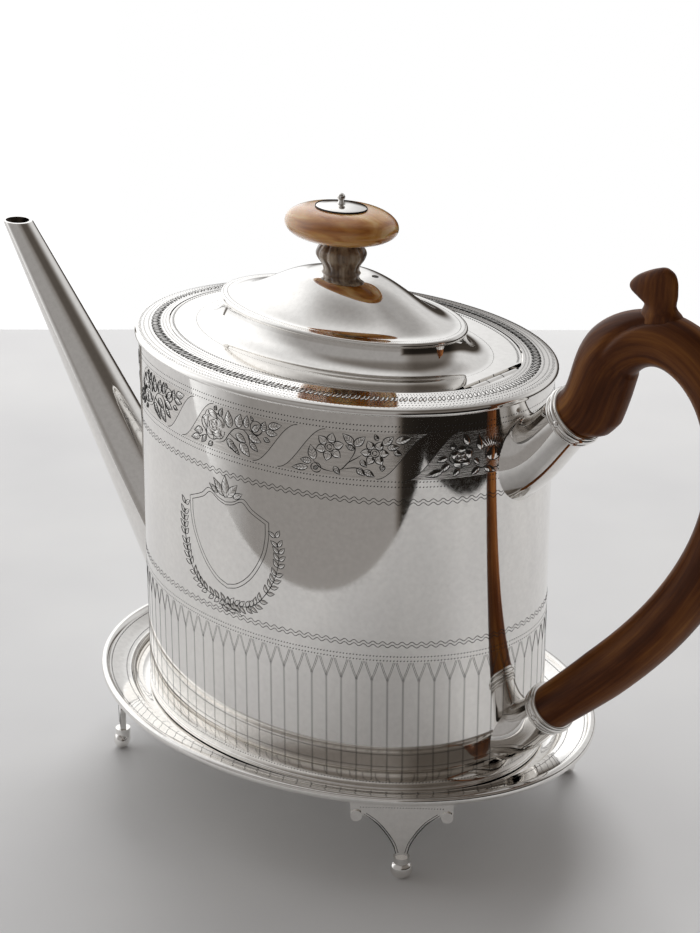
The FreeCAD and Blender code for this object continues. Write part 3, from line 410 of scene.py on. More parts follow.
piece("horn_stem", "lid", STEM_HORN, [bored(stem_rows, STEM_TOP, DOME_TOP)], ["finial_stem"])
swell = np.linspace(0, np.pi, 49)
bun = np.sin(swell) ** 0.78
knob_z = STEM_TOP + (KNOB_TOP - STEM_TOP) * ((1 - np.cos(swell)) / 2) ** 1.1
knob = ovals(5.6 + 12.55 * bun, 4.7 + 8.75 * bun, knob_z)
piece("horn_knob", "lid", HORN, [bored(knob, KNOB_TOP, STEM_TOP)], ["finial_knob"])
cap = curve([(8.15, 177.15), (8.2, 177.4), (8.0, 177.6), (6.4, 177.95), (4.0, 178.3), (1.2, 178.48)], 21)
piece("knob_cap", "lid", SILVER, [bored(ovals(cap[:, 0], cap[:, 0] * CAP_ASPECT, cap[:, 1]), 178.4, 177.1)],
      ["finial_cap"])
# A ring of the dark engraving material round the cap's rim: painted shade of the gap between cap and horn.
edge_long, edge_z = np.array([(8.1, 177.0), (8.32, 177.15), (8.34, 177.55), (8.22, 177.75)]).T
cap_shade_rows = ovals(edge_long, edge_long * CAP_ASPECT, edge_z)
piece("cap_edge_painted_shade", "lid", CUTS_AND_SHADE, [grid(cap_shade_rows, False, True)], closed=False)
SIXTHS = ROUND[::64]
below = np.array([SHEET, SHEET, 1.8, 1.8, 1.8, 1.8, 4.2, 4.2])
washer, nut = (1.0, 4.2, 4.2, 1.0), (1.0, 2.9, 2.9, 0.02)
piece("inner_nut", "lid", SILVER, [
    grid(ovals(washer, washer, DOME_TOP - below[:4]), False, True),
    grid(ovals(nut, nut, DOME_TOP - below[4:], SIXTHS), False, True)], ["finial_washer", "finial_nut"])

# The spout: straight generators of a tapered oval tube, from its level mouth to the drum
SPOUT_SLOPE = math.radians(53.3)
SPOUT_TIP = (4.3, 4.4)
SPOUT_FOOT = (13.5, 11.5)
SPOUT_SHEET = 0.9
SPOUT_MOUTH = np.array([-146.5 + SPOUT_TIP[0] / math.sin(SPOUT_SLOPE), 0, 147.8])
SPOUT_RUN = np.array([math.cos(SPOUT_SLOPE), 0, -math.sin(SPOUT_SLOPE)])
SPOUT_LONG = (-DRUM[0] - SPOUT_MOUTH[0]) / SPOUT_RUN[0]


def spout_wall(thinner, sunk, rows):
    """Lines from the oval across the mouth to that across the foot, thinner by a sheet: each is started at
    the mouth's level and ended where (x / long)^2 + (y / wide)^2 = 1 on the drum's oval less sunk."""
    across = np.array([math.sin(SPOUT_SLOPE), 0, math.cos(SPOUT_SLOPE)])
    ring = np.cos(ROUND)[:, None] * across, np.sin(ROUND)[:, None] * np.array([0, 1, 0])
    near = SPOUT_MOUTH + ring[0] * (SPOUT_TIP[0] - thinner) + ring[1] * (SPOUT_TIP[1] - thinner)
    foot = SPOUT_MOUTH + SPOUT_RUN * SPOUT_LONG
    far = foot + ring[0] * (SPOUT_FOOT[0] - thinner) + ring[1] * (SPOUT_FOOT[1] - thinner)
    way = far - near
    start = (SPOUT_MOUTH[2] - near[:, 2]) / way[:, 2]
    scale = 1 / (np.array(DRUM) - sunk)
    p, d = near[:, :2] * scale, way[:, :2] * scale
    a, b, c = (d * d).sum(1), 2 * (p * d).sum(1), (p * p).sum(1) - 1
    end = (-b - np.sqrt(b * b - 4 * a * c)) / (2 * a)
    share = np.linspace(0, 1, rows)[:, None]
    return near + way * (start + (end - start) * share)[..., None] + [AXIS_X, 0, 0]


spout_out = spout_wall(0, 0.2, 25)
spout_in = spout_wall(SPOUT_SHEET, 0.1, 9)
piece("spout_tube", "pot", SILVER, [grid(np.concatenate([spout_in[:1], spout_out]), False, True)], ["spout"])
# The spout's inside is darkened: tea stain with painted shade of the tube's recess.
piece("spout_inside", "pot", INSIDE, [grid(spout_in, False, True, True)], closed=False)

# The sockets: a ringed sleeve that flares into an oval plate lying on the drum
RING = np.linspace(0, 2 * np.pi, 128, endpoint=False)


def socket_axis(tilt):
    """Unit vectors out along a socket, sideways, and up across it."""
    tilt = math.radians(tilt)
    return (np.array([math.cos(tilt), 0, math.sin(tilt)]), np.array([0, 1.0, 0]),
            np.array([-math.sin(tilt), 0, math.cos(tilt)]))


def sleeve(mouth, tilt, profile):
    """Rings round a socket's axis from (radius, distance beyond the mouth)."""
    out, side, up = socket_axis(tilt)
    radius, beyond = (np.asarray(profile, float)[:, i, None, None] for i in (0, 1))
    turn = RING[None, :, None]
    return np.array(mouth) + out * beyond + radius * (np.cos(turn) * side + np.sin(turn) * up)


def flare(mouth, tilt, radius, back, plate, rows=33):
    """Trumpet from the sleeve's end to an oval plate in the drum's wall: its centre runs on a cubic that
    leaves along the socket's axis and arrives level, its half-sizes grow with share ** 2.2."""
    out = socket_axis(tilt)[0]
    level, wide, high = plate
    start = np.array(mouth) - out * back
    foot = np.array([AXIS_X + DRUM[0] - 4, 0, level])
    reach = np.linalg.norm(foot - start)
    f = np.linspace(0, 1, rows)[:, None]
    blend = f ** 2 * (3 - 2 * f)
    centre = (start + (foot - start) * blend - out * reach * f * (1 - f) ** 2
              + np.array([1, 0, 0]) * reach * f ** 2 * (1 - f))
    along = out * (1 - blend) + np.array([1, 0, 0]) * blend
    up = np.cross(along, [0, 1, 0])
    up /= np.linalg.norm(up, axis=1)[:, None]
    tall, broad = radius + (high - radius) * f ** 2.2, radius + (wide - radius) * f ** 2.2
    turn = RING[None, :, None]
    return (centre[:, None] + np.sin(turn) * (up * tall)[:, None]
            + np.cos(turn) * broad[:, None] * np.array([0, 1, 0]))


UPPER = dict(mouth=(84.5 + AXIS_X, 0, 136.4), tilt=42.6)
LOWER = dict(mouth=(80.0 + AXIS_X, 0, 46.8), tilt=44.0)


def reeded(radius):
    """Four reeds of uneven width round a sleeve: across each, the radius is more by proud sin(a) ^ 0.8."""
    rows = [(radius - 0.3, -4.5)]
    for low, high, proud in ((-4.5, -3.5, 0.75), (-3.5, -2.7, 0.6), (-2.7, -0.9, 1.15), (-0.9, 0.0, 0.8)):
        a = np.linspace(0.06, np.pi - 0.06, 9)
        rows += list(zip(radius + proud * np.sin(a) ** 0.8, (low + high) / 2 - (high - low) / 2 * np.cos(a)))
    return rows + [(radius - 0.3, 0.0)]


def riveted_pin(mouth, tilt, radius):
    """Pin across a socket with a low domed head on each side."""
    middle = np.array(mouth) - socket_axis(tilt)[0] * 2.2
    head = np.array([(0.02, 1.5), (0.45, 1.44), (0.8, 1.25), (1.0, 0.9)]) + [0, radius]
    around, along = np.concatenate([head, (head * [1, -1])[::-1]]).T
    turn = np.linspace(0, 2 * np.pi, 24, endpoint=False)
    x, z = around[:, None] * np.cos(turn), around[:, None] * np.sin(turn)
    return grid(middle + np.stack([x, along[:, None] + 0 * x, z], -1), False, True)


for end, at, radius, plate in (("upper", UPPER, 7.6, (118.6, 11.5, 15.0)),
                               ("lower", LOWER, 6.6, (34.0, 12.5, 11.0))):
    bore = radius - SHEET
    tube = sleeve(profile=[(bore, -9), (bore, -0.02), (radius, -0.02), (radius, -2.2)], **at)
    trumpet = flare(radius=radius - 0.05, back=3.8, plate=plate, **at)
    reeds = sleeve(profile=reeded(radius), **at)
    piece(f"{end}_socket_flare", "pot", SILVER, [grid(np.concatenate([tube, trumpet]), False, True)],
          [f"{end}_socket"])
    piece(f"{end}_reeds", "pot", SILVER, [grid(reeds, True, True)], [f"{end}_socket_collar"])
    piece(f"{end}_pin", "pot", SILVER, [riveted_pin(radius=radius, **at)], [f"{end}_handle_pin"])

# The handle: a carved scroll with a thumb-piece, both of one piece of wood


def scroll_line(points, first, last, count):
    """Cubic with continuous curvature through the points, its parameter the chord length, its end
    slopes the given unit vectors: the slopes m between solve, for chords of length h and slope s,
    h1 m0 + 2 (h0 + h1) m1 + h0 m2 = 3 (h1 s0 + h0 s1)."""
    p = np.asarray(points, float)
    h = np.linalg.norm(np.diff(p, axis=0), axis=1)[:, None]
    step = np.diff(p, axis=0) / h
    size = len(p)
    left = np.eye(size)
    right = np.zeros((size, 3))
    right[0], right[-1] = first, last
    inner = np.arange(1, size - 1)
    left[inner, inner - 1] = h[1:, 0]
    left[inner, inner] = 2 * (h[:-1, 0] + h[1:, 0])
    left[inner, inner + 1] = h[:-1, 0]
    right[1:-1] = 3 * (h[1:] * step[:-1] + h[:-1] * step[1:])
    slope = np.linalg.solve(left, right)
    knots = np.concatenate([[0], np.cumsum(h[:, 0])])
    u = np.linspace(0, knots[-1], count)
    k = np.clip(np.searchsorted(knots, u, "right") - 1, 0, size - 2)
    f = ((u - knots[k]) / h[k, 0])[:, None]
    return ((2 * f ** 3 - 3 * f ** 2 + 1) * p[k] + (f ** 3 - 2 * f ** 2 + f) * h[k] * slope[k]
            + (3 * f ** 2 - 2 * f ** 3) * p[k + 1] + (f ** 3 - f ** 2) * h[k] * slope[k + 1])


def handle_grid():
    """Scroll: ovals across the centre line, round at both ends, with a chin below the upper end and a
    carved fold that runs down from the thumb-piece on both sides: the radius is less by
    0.12 exp(-((turn - fold) / 0.13)^2). Returns the grid and the same grid unbent, for the grain."""
    upper, lower = np.array(UPPER["mouth"]), np.array(LOWER["mouth"])
    out_up, out_low = socket_axis(UPPER["tilt"])[0], socket_axis(LOWER["tilt"])[0]
    body = np.array([AXIS_X, 0, 0])
    points = [upper, body + [93.62, 0, 154.46], body + [108.5, 0, 162.2], body + [126.31, 0, 152.61],
              body + [132.7, 0, 134.0], body + [119.5, 0, 91.0], lower]
    path = scroll_line(points, out_up, -out_low, 401)
    way = np.gradient(path, axis=0)
    way /= np.linalg.norm(way, axis=1)[:, None]
    across = np.cross(way, [0, 1, 0])
    share = np.linspace(0, 1, len(path))
    near = np.clip(1 - np.minimum(share, 1 - share) / 0.12, 0, 1)
    ends = np.where(share < 0.5, 15.2, 13.2)
    more = 2.6 * np.exp(-((share - 0.1) / 0.06) ** 2) + 1.56 * np.exp(-((share - 0.36) / 0.1) ** 2)
    deep = ((14.6 + more) * (1 - near) + ends * near) / 2
    wide = ((11.6 + more * 0.5) * (1 - near) + ends * near) / 2
    turn = np.linspace(0, 2 * np.pi, 96, endpoint=False)
    chin = np.interp(share, [0, 0.012, 0.03, 0.07, 0.118, 0.13], [0, 2.0, 3.0, 2.3, 0.8, 0])
    fold = np.interp(share, [0.12, 0.16, 0.215], [1.5, 1.15, 0.55])[:, None]
    shown = np.clip((share - 0.115) / 0.03, 0, 1) * np.clip((0.22 - share) / 0.01, 0, 1)
    folded = np.minimum(turn, 2 * np.pi - turn)
    carved = 1 - 0.12 * shown[:, None] * np.exp(-((folded - fold) / 0.13) ** 2)
    inner = np.clip(-np.cos(turn), 0, 1)
    a = (deep[:, None] * np.cos(turn) - chin[:, None] * inner) * carved
    b = wide[:, None] * np.sin(turn) * carved
    rows = path[:, None] + across[:, None] * a[..., None] + np.array([0, 1, 0]) * b[..., None]
    far = np.concatenate([[0], np.cumsum(np.linalg.norm(np.diff(path, axis=0), axis=1))])
    return rows, np.stack([far[:, None] + 0 * a, a, b], -1)


wood_rows, wood_unbent = handle_grid()
poles = [row.mean(1, keepdims=True) + 0 * row for row in (wood_rows[:1], wood_rows[-1:])]
wood_rows = np.concatenate([poles[0], wood_rows, poles[1]])
wood_unbent = np.concatenate([wood_unbent[:1] * [1, 0, 0], wood_unbent, wood_unbent[-1:] * [1, 0, 0]])

# The thumb-piece: its lean, height and half-sizes along and across the pot
thumb = curve([(0.2, 163.0, 8.0, 4.6), (0.0, 168.4, 6.2, 3.7), (-0.4, 170.2, 5.0, 3.0),
               (-0.7, 171.2, 4.7, 2.7), (-1.6, 172.3, 5.6, 2.6), (-2.7, 173.9, 7.0, 2.5),
               (-2.8, 175.6, 7.1, 2.4), (-1.8, 177.9, 5.9, 2.2), (-0.4, 179.9, 3.6, 1.7),
               (0.2, 181.0, 1.2, 0.8), (0.3, 181.2, 0.05, 0.05)], 72)
lean, thumb_z, thumb_long, thumb_wide = thumb.T[..., None]
turn = np.linspace(0, 2 * np.pi, 64, endpoint=False)
thumb_x = AXIS_X + 108.6 + lean + thumb_long * np.cos(turn)
thumb_rows = np.stack([thumb_x, thumb_wide * np.sin(turn), thumb_z + 0 * turn], -1)
thumb_unbent = np.stack([thumb_rows[..., 2] - 130, thumb_rows[..., 0] - 108, thumb_rows[..., 1]], -1)
wood_grids = [grid(wood_rows, False, True), grid(thumb_rows, False, True)]
piece("scroll_handle", "pot", WOOD, wood_grids, ["handle"],
      unbent=np.concatenate([wood_unbent.reshape(-1, 3), thumb_unbent.reshape(-1, 3)]))

# Engraving is drawn flat and then laid on the silver: across is the girth of the drum from the middle of
# its front, + towards the handle, and up is the height, or on top the inset from the drum.
TABLE_TURN = np.linspace(-np.pi / 2, 1.5 * np.pi, 8193)
TABLE_WAY = np.concatenate([[0], np.cumsum(np.hypot(np.diff(DRUM[0] * np.cos(TABLE_TURN)),
                                                    np.diff(DRUM[1] * np.sin(TABLE_TURN))))])
GIRTH = TABLE_WAY[-1]
EDGE_SUNK = -0.03


def turn_at(flat):
    """Angle on the drum's oval at a drawing's place along the girth."""
    return np.interp(flat[..., 0] % GIRTH, TABLE_WAY, TABLE_TURN)


def on_drum(flat, proud):
    """Drawing laid on the drum's wall, lifted along the wall's normal."""
    turn = turn_at(flat)
    normal = np.stack([np.cos(turn) / DRUM[0], np.sin(turn) / DRUM[1]], -1)
    normal /= np.linalg.norm(normal, axis=-1, keepdims=True)
    x = AXIS_X + DRUM[0] * np.cos(turn) + normal[..., 0] * proud
    return np.stack([x, DRUM[1] * np.sin(turn) + normal[..., 1] * proud, flat[..., 1] + 0 * x], -1)


def on_top(profile):
    """Way of laying a drawing of (girth, inset) on a moulding of the lid or shoulder."""
    inset, z = np.asarray(profile, float).T

    def lay(flat, proud):
        turn = turn_at(flat)
        x = AXIS_X + (DRUM[0] - flat[..., 1]) * np.cos(turn)
        y = (DRUM[1] - flat[..., 1]) * np.sin(turn)
        return np.stack([x, y, np.interp(flat[..., 1], inset, z) + proud], -1)
    return lay


def patches(points):
    """Many small grids points[m, u, v] as one."""
    index = np.arange(points[..., 0].size).reshape(points.shape[:3])
    faces = np.stack([index[:, :-1, :-1], index[:, :-1, 1:], index[:, 1:, 1:], index[:, 1:, :-1]], -1)
    return points.reshape(-1, 3), faces.reshape(-1, 4)


def strokes(lines, width, lay, proud=0.05, tapered=True):
    """Ribbons along lines[m, n, 2]: edges just under the surface, crest a little proud, and the width,
    where tapered, times 0.3 + 0.7 sin(u)."""
    lines = np.asarray(lines, float)
    way = np.gradient(lines, axis=1)
    way /= np.maximum(np.linalg.norm(way, axis=2, keepdims=True), 1e-9)
    side = np.stack([-way[..., 1], way[..., 0]], -1)
    u = np.linspace(0, np.pi, lines.shape[1])[:, None]
    half = width / 2 * (0.3 + 0.7 * np.sin(u) if tapered else 1 + 0 * u)
    left, right = (lay(lines + hand * side * half, EDGE_SUNK) for hand in (1, -1))
    return patches(np.stack([left, lay(lines, proud), right], 2))


def dots(centres, size, lay, proud=0.06):
    """Small square punch marks, each four faces rising to its middle."""
    step = np.array([-0.5, 0, 0.5]) * size
    corner = np.stack(np.meshgrid(step, step), -1)
    flat = np.asarray(centres, float)[:, None, None] + corner
    lift = np.full((3, 3), EDGE_SUNK)
    lift[1, 1] = proud
    return patches(lay(flat, lift))


def relief(table, lay, proud):
    """Leaves chased up from rows (base, tip, half width): height proud (1 - v^2) sin(pi u^0.75)^0.5."""
    table = np.asarray(table, float)[:, None, None]
    base, tip, half = table[..., 0:2], table[..., 2:4], table[..., 4:5]
    way = tip - base
    side = np.stack([-way[..., 1], way[..., 0]], -1) / np.linalg.norm(way, axis=-1, keepdims=True)
    u = np.linspace(0, 1, 8)[:, None, None]
    v = np.linspace(1, -1, 5)[:, None]
    bow = np.sin(np.pi * np.minimum(u, 0.9999) ** 0.75)
    lift = proud * (1 - v ** 2) * np.sqrt(bow) - 0.02
    return patches(lay(base + way * u + side * half * bow * v, lift[..., 0]))


def dot_row(level, pitch=0.95):
    """Evenly spaced places round the girth at one height."""
    across = np.arange(round(GIRTH / pitch)) * GIRTH / round(GIRTH / pitch)
    return np.stack([across, 0 * across + level], -1)


def wave_row(level, swing, period, per=8):
    """One wavy line right round the girth: level + swing sin(2 pi across / period)."""
    count = round(GIRTH / period)
    across = np.linspace(0, GIRTH, count * per + 1)
    return np.stack([across, level + swing * np.sin(across * 2 * np.pi * count / GIRTH)], -1)[None]


STEPS = 17


def path(points):
    """Smooth line through a few points, as one line of STEPS points."""
    return curve(points, STEPS)[None]


def loop(centre, across, up, lobes=0, depth=0.0, phase=0.0):
    """Closed round with lobes, in three lines: radius 1 - depth + depth |sin(lobes t / 2 + phase)|."""
    t = np.linspace(0, 2 * np.pi, STEPS * 3)
    r = 1 + depth * np.abs(np.sin(lobes * t / 2 + phase)) - depth
    round_line = np.stack([centre[0] + across * r * np.cos(t), centre[1] + up * r * np.sin(t)], -1)
    return np.stack([round_line[i * (STEPS - 1):i * (STEPS - 1) + STEPS] for i in range(3)])


def leaves(table, veins=3, teeth=0.0):
    """Leaves from rows (base, tip, half width): two edges bowed by half sin(pi u^0.75), which may have
    seven teeth, a midrib and slanting veins."""
    table = np.asarray(table, float)
    base, tip, half = table[:, None, 0:2], table[:, None, 2:4], table[:, None, 4:5]
    way = tip - base
    side = np.stack([-way[..., 1], way[..., 0]], -1) / np.linalg.norm(way, axis=-1, keepdims=True)
    u = np.linspace(0, 1, STEPS)[None, :, None]
    bow = np.sin(np.pi * u ** 0.75) * (1 + teeth * np.sin(14 * np.pi * u))
    lines = [base + way * u + side * half * bow, base + way * u - side * half * bow,
             base + way * (0.05 + 0.8 * u)]
    for k in range(veins):
        start = 0.2 + 0.55 * k / max(veins, 1)
        reach = 0.75 * np.sin(np.pi * min(start + 0.16, 1) ** 0.75)
        for hand in (1, -1):
            lines.append(base + way * (start + 0.16 * u) + hand * side * half * reach * u)
    return np.concatenate(lines)


def petals(centre, size, count, phase, start, half):
    """Leaf rows of petals round a flower's heart, from start to 1 of its size."""
    a = phase + np.arange(count) * 2 * np.pi / count
    ray = size * np.stack([np.cos(a), np.sin(a)], -1)
    return np.concatenate([centre + ray * start, centre + ray, np.full((count, 1), size * half)], 1)


def daisy(centre, size, phase):
    """Open flower: six petals round a ringed eye. Returns its lines and its leaf rows."""
    rows = petals(centre, size, 6, phase, 0.3, 0.28)
    eye = [loop(centre, size * r, size * r) for r in (0.3, 0.16)]
    return np.concatenate([leaves(rows, 1)] + eye), rows


def rose(centre, size):
    """Full-blown rose: lobed rounds that close in to a coiled heart, with petal folds between.
    Returns its lines and its leaf rows."""
    x, y = centre
    rounds = [loop(centre, size * r, size * r * 0.95, lobes, depth, phase) for r, lobes, depth, phase in (
        (1, 5, 0.16, 0), (0.8, 5, 0.2, 0.8), (0.58, 4, 0.2, 0.3), (0.36, 3, 0.2, 0), (0.17, 2, 0.2, 0))]
    a = np.arange(7) * 2 * np.pi / 7
    folds = [path([(x + size * 0.5 * math.cos(t), y + size * 0.5 * math.sin(t)),
                   (x + size * 0.75 * math.cos(t + 0.25), y + size * 0.72 * math.sin(t + 0.25)),
                   (x + size * 0.95 * math.cos(t + 0.2), y + size * 0.9 * math.sin(t + 0.2))]) for t in a]
    rows = [petals(centre, size * 0.97, 5, 0.3, 0.36, 0.4), petals(centre, size * 0.5, 4, 0.9, 0.1, 0.3)]
    return np.concatenate(rounds + folds), np.concatenate(rows)


def thistle(centre, size):
    """Round cross-hatched cup with a brush of fine rays. Returns its lines and its leaf rows."""
    x, y = centre
    lines = [loop((x, y - size * 0.25), size * 0.62, size * 0.55)]
    hatch = np.array([(-0.2, -0.6), (0, -0.3), (0.2, 0.1)])
    for k in np.linspace(-0.45, 0.45, 4):
        lines += [path((hatch * [slant, 1] + [k, 0]) * size + centre) for slant in (1, -1)]
    rows = [(x, y - size * 0.85, x, y + size * 0.3, size * 0.58)]
    for k in np.linspace(-1, 1, 9):
        foot = (x + size * 0.4 * k, y + size * 0.15)
        tip = (x + size * 0.95 * k, y + size * (0.95 - 0.2 * abs(k)))
        lines.append(path([foot, (x + size * 0.62 * k, y + size * 0.55), tip]))
        rows.append((*foot, *tip, size * 0.1))
    return np.concatenate(lines), np.array(rows)


BAND_LOW, BAND_HIGH = 117.7, 130.9
PANEL = GIRTH / 10
RIBBON_AT = -14.5 + PANEL * np.arange(10)
RIBBON_EDGES = (-2.6, 5.6)
SWASH = np.linspace(0, 1, 25)


def swash_edge(shift):
    """S-shaped edge of a plain ribbon, level at the band's foot and top: its rise is 3 s^2 - 2 s^3."""
    rise = SWASH ** 2 * (3 - 2 * SWASH)
    return np.stack([shift - 9.5 + 14.5 * SWASH, BAND_LOW + (BAND_HIGH - BAND_LOW) * rise], -1)


def rose_panel():
    """Rose, stem, leaves and an opening bud."""
    bloom, bloom_rows = rose((-7.0, 0.4), 4.9)
    leaf = np.array([
        (-0.6, 1.0, -1.0, 6.2, 1.5), (2.4, 1.9, 3.6, 6.2, 1.4), (1.8, -0.2, 5.4, -2.0, 1.2),
        (3.4, -2.4, 6.6, -6.0, 1.5),
        (-1.6, -2.4, 1.8, -5.6, 1.2), (-0.4, -3.4, 3.0, -6.3, 0.9), (-4.4, 3.6, -3.2, 6.4, 0.8),
        (-6.2, 5.0, -5.6, 6.5, 0.6),
        (-10.2, -3.6, -12.2, -6.3, 0.8), (11.2, 2.6, 12.2, 5.8, 1.0), (-11.6, -2.4, -15.4, -3.4, 1.1),
        (-12.8, -4.6, -17.0, -5.9, 0.9), (-7.4, -5.0, -9.4, -6.4, 0.7), (5.4, 2.4, 6.0, 6.3, 1.0),
        (6.4, 0.4, 10.8, -0.8, 1.2), (6.8, -1.6, 9.6, -3.8, 0.9), (12.4, 2.8, 16.2, 2.6, 1.0),
        (13.2, 4.4, 17.6, 5.6, 1.1), (11.6, 0.6, 13.8, 0.0, 0.7)])
    bud = np.array([(7.7, 2.0, 10.7, 4.4, 0.9), (8.2, 4.9, 7.2, 6.4, 0.4)])
    stems = [path([(-6.2, -4.6), (-3.0, -3.6), (-0.6, -0.6), (1.6, 1.4), (4.6, 1.7), (7.0, 2.2)]),
             path([(-0.6, -0.6), (2.2, -2.0), (4.6, -2.4)]), path([(6.6, 2.1), (9.4, 1.0), (11.2, 2.6)]),
             path([(4.6, 1.7), (6.0, 0.6), (6.8, -1.6)]), path([(-9.6, -3.2), (-11.6, -4.0), (-13.0, -4.6)])]
    opening = [loop((9.2, 3.2), 2.1, 2.0), leaves(bud, 2)]
    return (np.concatenate([bloom, *stems, leaves(leaf, 3, 0.08), *opening]),
            np.concatenate([bloom_rows, leaf, bud]))


def daisy_panel():
    """Two open daisies on one spray with leaves and a bud."""
    first, first_rows = daisy((-5.6, 1.6), 4.3, 0.3)
    second, second_rows = daisy((7.2, 0.9), 4.0, 0.0)
    leaf = np.array([
        (-10.2, -2.8, -11.2, 1.6, 1.3), (1.4, 3.0, -1.8, 6.0, 1.1), (1.5, 2.6, 4.6, 5.6, 1.1),
        (1.6, 1.6, -1.0, 2.6, 0.7),
        (2.2, -3.8, 4.4, -6.0, 0.9), (4.2, -4.4, 7.2, -6.1, 0.9), (-4.4, -4.0, -2.6, -6.3, 0.8),
        (9.4, 3.4, 12.4, 6.0, 1.1), (8.0, 4.6, 7.2, 6.5, 0.6), (9.4, -2.4, 9.2, -4.4, 0.7),
        (10.6, 2.6, 14.0, 3.0, 0.9),
        (-10.4, -5.4, -8.8, -4.6, 0.5), (-11.0, -3.4, -14.4, -3.2, 0.9), (-12.0, -5.2, -17.0, -6.0, 0.9),
        (12.8, 4.4, 17.2, 5.6, 1.1), (12.4, 1.6, 14.6, 0.6, 0.8), (3.2, -1.4, 5.0, -3.4, 0.8)])
    stems = [path([(-5.0, -5.6), (-2.2, -4.6), (-0.2, -2.4), (2.0, -1.0), (3.6, 0.2)]),
             path([(-0.2, -2.4), (1.6, 0.8), (1.4, 3.0), (-0.8, 4.4)]),
             path([(-5.0, -5.6), (-8.0, -5.0), (-10.4, -3.0)]),
             path([(-2.2, -4.6), (2.0, -3.8), (5.0, -5.2)])]
    return (np.concatenate([first, second, *stems, leaves(leaf, 3), loop((-9.6, -5.0), 1.5, 1.4)]),
            np.concatenate([first_rows, second_rows, leaf]))


def thistle_panel():
    """Thistle head beside a rose, over a fan of long leaves."""
    head, head_rows = thistle((3.4, 0.6), 4.4)
    bloom, bloom_rows = rose((-6.4, -0.6), 3.6)
    leaf = np.array([
        (-1.0, -4.2, -3.6, -6.4, 0.9), (0.4, -4.6, 4.2, -6.4, 0.9), (4.6, -4.8, 7.2, -6.3, 0.8),
        (7.4, -4.2, 12.0, -1.2, 1.2), (-0.6, 0.6, -1.4, 5.4, 1.1), (-4.4, 2.6, -5.8, 6.3, 0.9),
        (-8.8, 1.6, -9.0, 4.0, 0.8),
        (-9.8, -2.2, -12.6, -4.8, 0.9), (8.2, 2.4, 11.4, 6.0, 1.1), (7.6, -0.6, 11.0, 1.6, 0.9),
        (-10.4, -0.4, -13.4, -1.6, 0.9), (-11.6, -4.2, -16.6, -5.9, 1.0), (-7.0, -4.0, -8.8, -6.3, 0.8),
        (11.6, 3.2, 15.6, 3.2, 1.0), (12.6, 5.0, 17.4, 5.8, 0.9), (-2.6, -1.4, -1.2, -3.6, 0.7)])
    stems = [path([(-3.0, -3.2), (0.0, -4.6), (3.0, -2.4)]), path([(0.0, -4.6), (5.0, -5.2), (9.0, -3.6)])]
    return (np.concatenate([head, bloom, *stems, leaves(leaf, 3, 0.08)]),
            np.concatenate([head_rows, bloom_rows, leaf]))


flowers, chased = [], []
for kind, panel in enumerate((rose_panel, daisy_panel, thistle_panel)):
    lines, rows = panel()
    for at in RIBBON_AT[kind::3] + PANEL / 2 - 1.2:
        place = (at, (BAND_LOW + BAND_HIGH) / 2)
        flowers.append(strokes(lines * 0.98 + place, 0.4, on_drum, 0.16))
        chased.append(relief(rows * 0.98 + [*place, *place, 0], on_drum, 0.15))
engraved("flower_band", "pot", flowers)
engraved("flower_band_relief", "pot", chased, SILVER)

swashes = np.stack([swash_edge(shift) + [at, 0] for shift in RIBBON_EDGES for at in RIBBON_AT])
band_lines = [strokes(swashes, 0.36, on_drum, tapered=False)]
ground = []
across = np.linspace(0, 1, 33)[:, None, None]
for at in RIBBON_AT:
    left = swash_edge(RIBBON_EDGES[1]) + [at, 0]
    right = swash_edge(RIBBON_EDGES[0]) + [at + PANEL, 0]
    ground.append(grid(on_drum(left + (right - left) * across, 0.012).transpose(1, 0, 2)))
engraved("flower_band_ground", "pot", ground, MATTED)

# Dots, waves and an arcade: flutes that wriggle down to the foot, and at the head of each, lines that part
# by climb ^ 0.8 and all but meet the next ones in pointed arches
dotted = np.concatenate([dot_row(z) for z in (133.0, 131.5, 117.1, 115.6, 64.6, 63.3, 24.6)])
waves = [strokes(wave_row(z, 0.42, 2.7), 0.32, on_drum, tapered=False) for z in (111.7, 110.7, 68.8, 67.8)]
FLUTES = 84
flute_at = -2.2 + GIRTH / FLUTES * np.arange(FLUTES)[:, None]
fall = np.linspace(57.2, 25.2, 85)
wriggle = 0.26 * np.where(np.arange(len(fall)) % 2, 1, -1)
flute = np.stack([flute_at + wriggle, fall + 0 * flute_at], -1)
climb = np.linspace(0, 1, 9)
arch = [np.stack([flute_at + hand * (drift + 2.05 * climb ** 0.8), 57.0 + 5.7 * climb + 0 * flute_at], -1)
        for hand in (1, -1) for drift in (0.0, -0.42)]
arcade = [strokes(flute, 0.34, on_drum, tapered=False),
          strokes(np.concatenate(arch), 0.2, on_drum, tapered=False)]
engraved("drum_borders", "pot", [dots(dotted, 0.6, on_drum)] + waves + band_lines + arcade)


def sprig(points, count, long, half, lean=0.75):
    """Leafy branch: a stem with pairs of leaves turned from its way by lean. Returns its lines and its
    leaf rows."""
    stem = curve(points, 60)
    way = np.gradient(stem, axis=0)
    way /= np.linalg.norm(way, axis=1)[:, None]
    at = np.linspace(3, 58, count).astype(int)
    broad = np.full((count, 1), half)
    rows = []
    for turn in (lean, -lean):
        out = np.stack([way[at, 0] * math.cos(turn) - way[at, 1] * math.sin(turn),
                        way[at, 0] * math.sin(turn) + way[at, 1] * math.cos(turn)], -1)
        rows.append(np.concatenate([stem[at] + out * 0.2, stem[at] + out * long, broad], 1))
    rows = np.concatenate(rows)
    return np.concatenate([path(stem[::4]), leaves(rows, 0)]), rows


